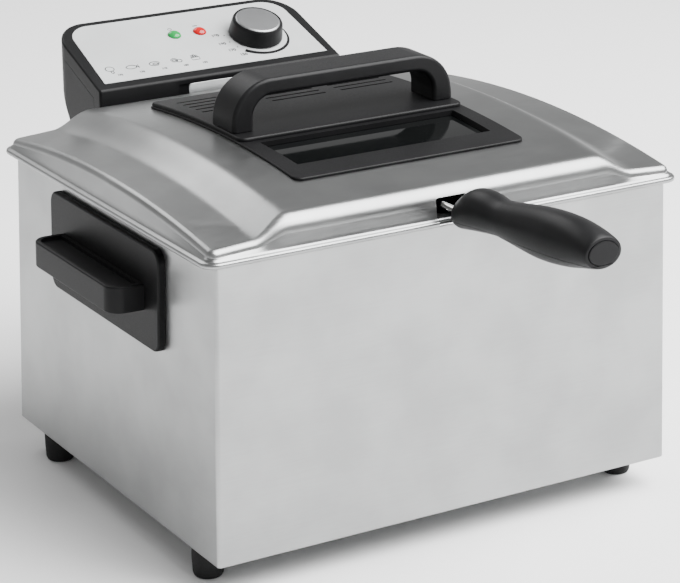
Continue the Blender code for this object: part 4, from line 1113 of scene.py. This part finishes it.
def makeElement():
    z, over, legY = element["floor"], element["over"], element["legY"]
    half = [(26, 176, over), (26, legY, over), (26, legY, z), (26, 102, z), (126, 102, z), (126, -98, z),
            (84, -98, z), (84, 62, z), (42, 62, z), (42, -98, z)]
    route = roundedRoute([(-a, b, c) for a, b, c in half] + half[::-1], element["bend"], 8)
    placeTube(
        route, element["radius"], 16, "heatingTube", "elementSheath", "control_unit", ["heating_element"],
        "thin_steel")
    bulb = turnedShape(softened([(0, 90), (2.4, 90), (3.3, 88), (3.3, 2), (2.4, 0), (0, 0)], 0.8), 28)
    moved(bulb, Matrix.Translation((-62, 52, z + 8.5)) @ Matrix.Rotation(math.pi / 2, 4, "X"))
    place(bulb, "sensorBulb", "platedWire", "control_unit", ["thermostat_bulb"], "bright_wire")
    thin = [
        (-62, 52.6, z + 8.5), (-62, 92, z + 8.5), (-12, legY, z + 12), (-12, legY, over), (-12, 180, over),
    ]
    placeTube(
        roundedRoute(thin, 6.0), 1.2, 12, "sensorTube", "platedWire", "control_unit", ["capillary_tube"],
        "bright_wire")
    low, high = boxOf("element_head")
    outline = softened([(low.y, low.z), (low.y, high.z), (high.y, high.z)], 2.0, 5)
    inner = softened([(high.y, high.z - 1.2), (low.y + 1.2, high.z - 1.2), (low.y + 1.2, low.z)], 1.0, 5)
    neck = moved(extruded(outline + inner, low.x, high.x), sideTurn)
    ribs = bmesh.new()
    for x in (-18, 0, 18):
        addBlock(ribs, (x - 2.2, low.y - 3, 130), (x + 2.2, high.y - 50, 200))
    bevel(ribs, edgesAlong(ribs, 1), 2.1, 5)
    neck = carve(neck, ribs)
    place(neck, "elementNeck", "stampedStainless", "control_unit", ["element_head"], "thin_steel")


makeElement()
print("deep fryer: tank and element made")


basket = {
    "halfX": 139.0, "front": -112.0, "rear": 106.0, "floor": 104.0, "top": 207.0, "taper": 10.0,
    "corner": 20.0, "heel": 7.0, "pitch": 8.4, "wire": 0.65,
}


def basketEdge(across, halfAcross, half):  # how far out the wall stands, with its rounded corner in plan
    beyond = abs(across) - (halfAcross - basket["corner"])
    if beyond <= 0:
        return half
    beyond = min(beyond, basket["corner"] * 0.985)
    return half - basket["corner"] + math.sqrt(basket["corner"] ** 2 - beyond ** 2)


def uWire(across, halfAcross, half, alongX):  # down one wall, across the floor and up the other wall
    floor, top, heel = basket["floor"] + 0.7, basket["top"] + 1.0, basket["heel"]
    middleY = (basket["front"] + basket["rear"]) / 2
    halfway = []
    for z in (top, top - 30, floor + 36, floor + heel):
        shrink = (basket["top"] - z) / (basket["top"] - basket["floor"]) * basket["taper"]
        halfway.append((basketEdge(across, halfAcross, half) - 0.7 - shrink, z))
    edge = halfway[-1][0]
    for short, rise in quarterFalls(4)[1:]:
        halfway.append((edge - heel * short, floor + heel * rise))
    halfway.append((edge * 0.5, floor))
    both = halfway + [(-d, z) for d, z in halfway[::-1]]
    if alongX:
        return [Vector((d, middleY + across, z)) for d, z in both]
    return [Vector((across, middleY + d, z)) for d, z in both]


def makeBasket():
    halfX = basket["halfX"]
    halfY = (basket["rear"] - basket["front"]) / 2
    middleY = (basket["front"] + basket["rear"]) / 2
    bm = bmesh.new()
    # Lengthwise and crosswise wires keep clear of the corners' ends, where the level wires carry on.
    countX = int((halfX - basket["taper"] - 3) / basket["pitch"])
    for step in range(-countX, countX + 1):
        addTube(bm, uWire(step * basket["pitch"], halfX, halfY, False), basket["wire"], 6)
    countY = int((halfY - basket["taper"] - 3) / basket["pitch"])
    for step in range(-countY, countY + 1):
        route = [p - Vector((0, 0, 0.9)) if p.z < basket["floor"] + 1.6 else p
                 for p in uWire(step * basket["pitch"], halfY, halfX, True)]
        addTube(bm, [p + Vector((0, 0, 0.9)) for p in route], basket["wire"], 6)
    levels = int((basket["top"] - basket["floor"] - basket["heel"]) / basket["pitch"])
    for level in range(levels + 1):
        z = basket["floor"] + basket["heel"] + level * basket["pitch"]
        shrink = (basket["top"] - z) / (basket["top"] - basket["floor"]) * basket["taper"]
        ring = ringOf(halfX - shrink - 1.6, halfY - shrink - 1.6, basket["corner"] - 1.6, z, 6, middleY)
        addTube(bm, ring, basket["wire"], 6, closed=True)
    place(bm, "basketWeave", "platedWire", "basket", ["basket_mesh"], "bright_wire", weighted=False)

    low, high = boxOf("basket_rim_wire")
    rimZ = (low.z + high.z) / 2
    corners = [(-halfX, basket["front"], rimZ), (halfX, basket["front"], rimZ), (halfX, basket["rear"], rimZ),
               (-halfX, basket["rear"], rimZ)]
    placeTube(
        roundedRoute(corners, basket["corner"], 10, True), 2.5, 16, "basketRim", "platedWire", "basket",
        ["basket_rim_wire"], "bright_wire", closed=True)

    low, high = boxOf("basket_handle_bracket")
    bracket = block(low, high, 4.0, 6, 1)
    roundEdges(bracket, lambda p: True, 0.3, 2, 1.2)
    for height in (low.z + 12, high.z - 12):
        hole = bmesh.new()
        cylinder(hole, (0, low.y, height), 2.6, 10.0, "Y")
        bracket = carve(bracket, hole)
    place(bracket, "handleBracket", "stampedStainless", "basket", ["basket_handle_bracket"], "thin_steel")

    low, high = boxOf("basket_handle_wire")
    radius = 2.25
    rodX, rodZ = high.x - radius, high.z - radius
    back = high.y - radius
    foot = low.z + radius
    loop = [
        (-rodX, low.y, rodZ), (-rodX, back, rodZ), (-rodX, back, foot), (rodX, back, foot),
        (rodX, back, rodZ), (rodX, low.y, rodZ),
    ]
    placeTube(
        roundedRoute(loop, 7.0, 10), radius, 20, "handleRods", "platedWire", "basket",
        ["basket_handle_wire"], "bright_wire")


makeBasket()

# Grip sections: how far forward of the housing's middle, centre height, half width and half height.
grip = {
    "sections": [
        (167.0, 228.6, 11.3, 9.1), (168.0, 229.1, 12.0, 10.4), (170.5, 230.2, 12.7, 11.8),
        (176.0, 232.8, 13.3, 13.4), (184.0, 235.2, 13.6, 14.4), (197.0, 236.7, 13.0, 13.9),
        (211.0, 236.9, 12.3, 12.3), (222.0, 237.4, 12.6, 13.1), (233.0, 238.2, 13.3, 14.4),
        (245.0, 239.0, 14.0, 15.8), (257.0, 239.9, 14.6, 16.9), (273.0, 241.4, 15.2, 17.1),
        (290.0, 243.0, 15.2, 15.9), (304.0, 244.0, 14.9, 13.4), (313.0, 244.1, 14.2, 11.4),
        (316.4, 244.0, 13.7, 10.3), (317.2, 244.0, 13.1, 9.7),
    ],
    "seamTilt": 4.5, "seamGap": 0.2, "disc": (11.1, 7.7), "discRecess": 0.3, "around": 64,
}


def curveThrough(values, t):  # Catmull-Rom through equally counted values
    last = len(values) - 1
    place1 = min(int(t), last - 1)
    u = t - place1
    p = [values[max(place1 - 1, 0)], values[place1], values[place1 + 1], values[min(place1 + 2, last)]]
    out = []
    for a, b, c, d in zip(*p):
        square, cube = 2 * a - 5 * b + 4 * c - d, 3 * b - a - 3 * c + d
        out.append(0.5 * (2 * b + (c - a) * u + square * u * u + cube * u ** 3))
    return out


def uprightOval(forward, height, halfWidth, halfHeight, steps):
    return [Vector((x, -forward, z)) for x, z in oval(0.0, height, halfWidth, halfHeight, steps)]


def gripSolid():
    sections = grip["sections"]
    rings = []
    parts = 4
    for index in range((len(sections) - 1) * parts + 1):
        forward, height, halfWidth, halfHeight = curveThrough(sections, index / parts)
        rings.append(uprightOval(forward, height, halfWidth, halfHeight, grip["around"]))
    return lofted(rings, caps=True)


def ovalDisc(steps, z):  # oval rings (distance forward, growth) about the grip's end disc
    halfX, halfZ = grip["disc"]
    rings = [uprightOval(forward, z, halfX + grow, halfZ + grow, 56) for forward, grow in steps]
    return lofted(rings, caps=True)


def makeGrip():
    seam = Vector((0, -157, 223.6))
    tilt = math.radians(grip["seamTilt"])
    normal = Vector((0, math.sin(tilt), math.cos(tilt)))
    endZ = grip["sections"][-1][1]
    for name, way, node in (("gripUpperHalf", -1, "grip_upper"), ("gripLowerHalf", 1, "grip_lower")):
        bm = gripSolid()
        bmesh.ops.recalc_face_normals(bm, faces=bm.faces)
        cutOff(bm, seam - normal * way * grip["seamGap"], normal * way)
        if name == "gripUpperHalf":
            drills = bmesh.new()
            for side in (-1, 1):
                cylinder(drills, (side * 7.8, -174, 231.4), 2.55, 46.0, "Y", 24)
            bm = carve(bm, drills)
        clear = grip["discRecess"]
        bm = carve(bm, ovalDisc([(314.6, clear), (325.0, clear)], endZ))
        place(bm, name, "gripPlastic", "basket", [node], "black_plastic", angle=40, weighted=False)
    disc = ovalDisc([(314.9, 0.0), (317.1, 0.0), (317.7, -0.25), (318.0, -0.9)], endZ)
    place(disc, "gripEndDisc", "gripPlastic", "basket", ["grip_end_cap"], "black_plastic")


makeGrip()
print("deep fryer: basket made")


keptFinishes = {
    "base_plate": "stampedStainless", "lamp_board": "innerPlastic", "thermostat_body": "innerPlastic",
    "thermal_cutout": "innerPlastic", "terminal_block": "innerPlastic", "interlock_switch": "innerPlastic",
    "thermostat_shaft": "zincScrew", "filter_pad": "filterFleece", "window_gasket": "footRubber",
}
for name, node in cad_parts.items():
    finish = keptFinishes.get(name, "zincScrew" if "_screw_" in name else None)
    if finish:
        node.data.materials.clear()
        node.data.materials.append(finishes[finish])


def makeFloor():
    made = bpy.data.materials.new("paleFloor")
    made.use_nodes = True
    shader = made.node_tree.nodes["Principled BSDF"]
    shader.inputs["Base Color"].default_value = linear("#F6F6F6")
    shader.inputs["Roughness"].default_value = 0.8
    shader.inputs["Specular IOR Level"].default_value = 0.1
    bm = bmesh.new()
    bmesh.ops.create_grid(bm, x_segments=1, y_segments=1, size=6.0)
    data = meshOf("floor", bm)
    data.materials.append(made)
    linked("floor", data)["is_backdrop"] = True


makeFloor()

light = {"horizon": "#E6E6E6", "zenith": "#9C9C9C", "strength": 1.0}
softboxes = {
    # name: azimuth, elevation and distance in metres from the fryer, width, height, power in watts
    "key": (52.0, 54.0, 2.4, 2.8, 2.2, 290.0),
    "rear": (187.0, 42.0, 2.6, 1.6, 0.9, 20.0),
}


def backFrom(azimuth, elevation):  # the way from the fryer to something that looks at it, angles in radians
    flat = math.cos(elevation)
    return Vector((math.sin(azimuth) * flat, -math.cos(azimuth) * flat, math.sin(elevation)))


def makeLight():
    world = bpy.data.worlds.new("studio")
    bpy.context.scene.world = world
    world.use_nodes = True
    tree = world.node_tree
    background = tree.nodes["Background"]
    where = addNode(tree, "ShaderNodeTexCoord", {}, {})
    split = addNode(tree, "ShaderNodeSeparateXYZ", {}, {0: where.outputs["Generated"]})
    rise = addNode(tree, "ShaderNodeMapRange", {}, {0: split.outputs[2], 1: 0.0, 2: 0.75, 3: 0.0, 4: 1.0})
    colour = addNode(
        tree, "ShaderNodeMix", {"data_type": "RGBA"},
        {0: rise.outputs[0], 6: linear(light["horizon"]), 7: linear(light["zenith"])})
    tree.links.new(colour.outputs[2], background.inputs["Color"])
    background.inputs["Strength"].default_value = light["strength"]
    low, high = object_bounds()
    goal = (low + high) / 2
    for name, (azimuth, elevation, distance, width, height, power) in softboxes.items():
        back = backFrom(math.radians(azimuth), math.radians(elevation))
        data = bpy.data.lights.new("softbox_" + name, "AREA")
        data.shape = "RECTANGLE"
        data.size, data.size_y, data.energy = width, height, power
        lamp = linked("softbox_" + name, data)
        lamp.location = goal + back * distance
        lamp.rotation_euler = back.to_track_quat("Z", "Y").to_euler()


makeLight()

view = {
    "azimuth": -30.65, "elevation": 19.48, "roll": -0.28, "distance": 1925.0, "right": 3.1, "up": 104.6,
    "lens": 140.45,
}


def makeCamera():
    a, e, r = (math.radians(view[key]) for key in ("azimuth", "elevation", "roll"))
    back = backFrom(a, e)
    right = Vector((math.cos(a), math.sin(a), 0))
    up = back.cross(right)
    right, up = right * math.cos(r) + up * math.sin(r), up * math.cos(r) - right * math.sin(r)
    goal = boxOf("housing_shell")[0] * Vector((0, 0, 1))
    eye = goal + back * view["distance"] + right * view["right"] + up * view["up"]
    data = bpy.data.cameras.new("camera")
    data.lens = view["lens"]
    data.sensor_width = 36.0
    camera = linked("camera", data)
    turn = Matrix((right, up, back)).transposed().to_4x4()
    camera.matrix_world = Matrix.Translation(eye * mm + middle) @ turn
    bpy.context.scene.camera = camera


makeCamera()
print("deep fryer: floor, light and camera made")
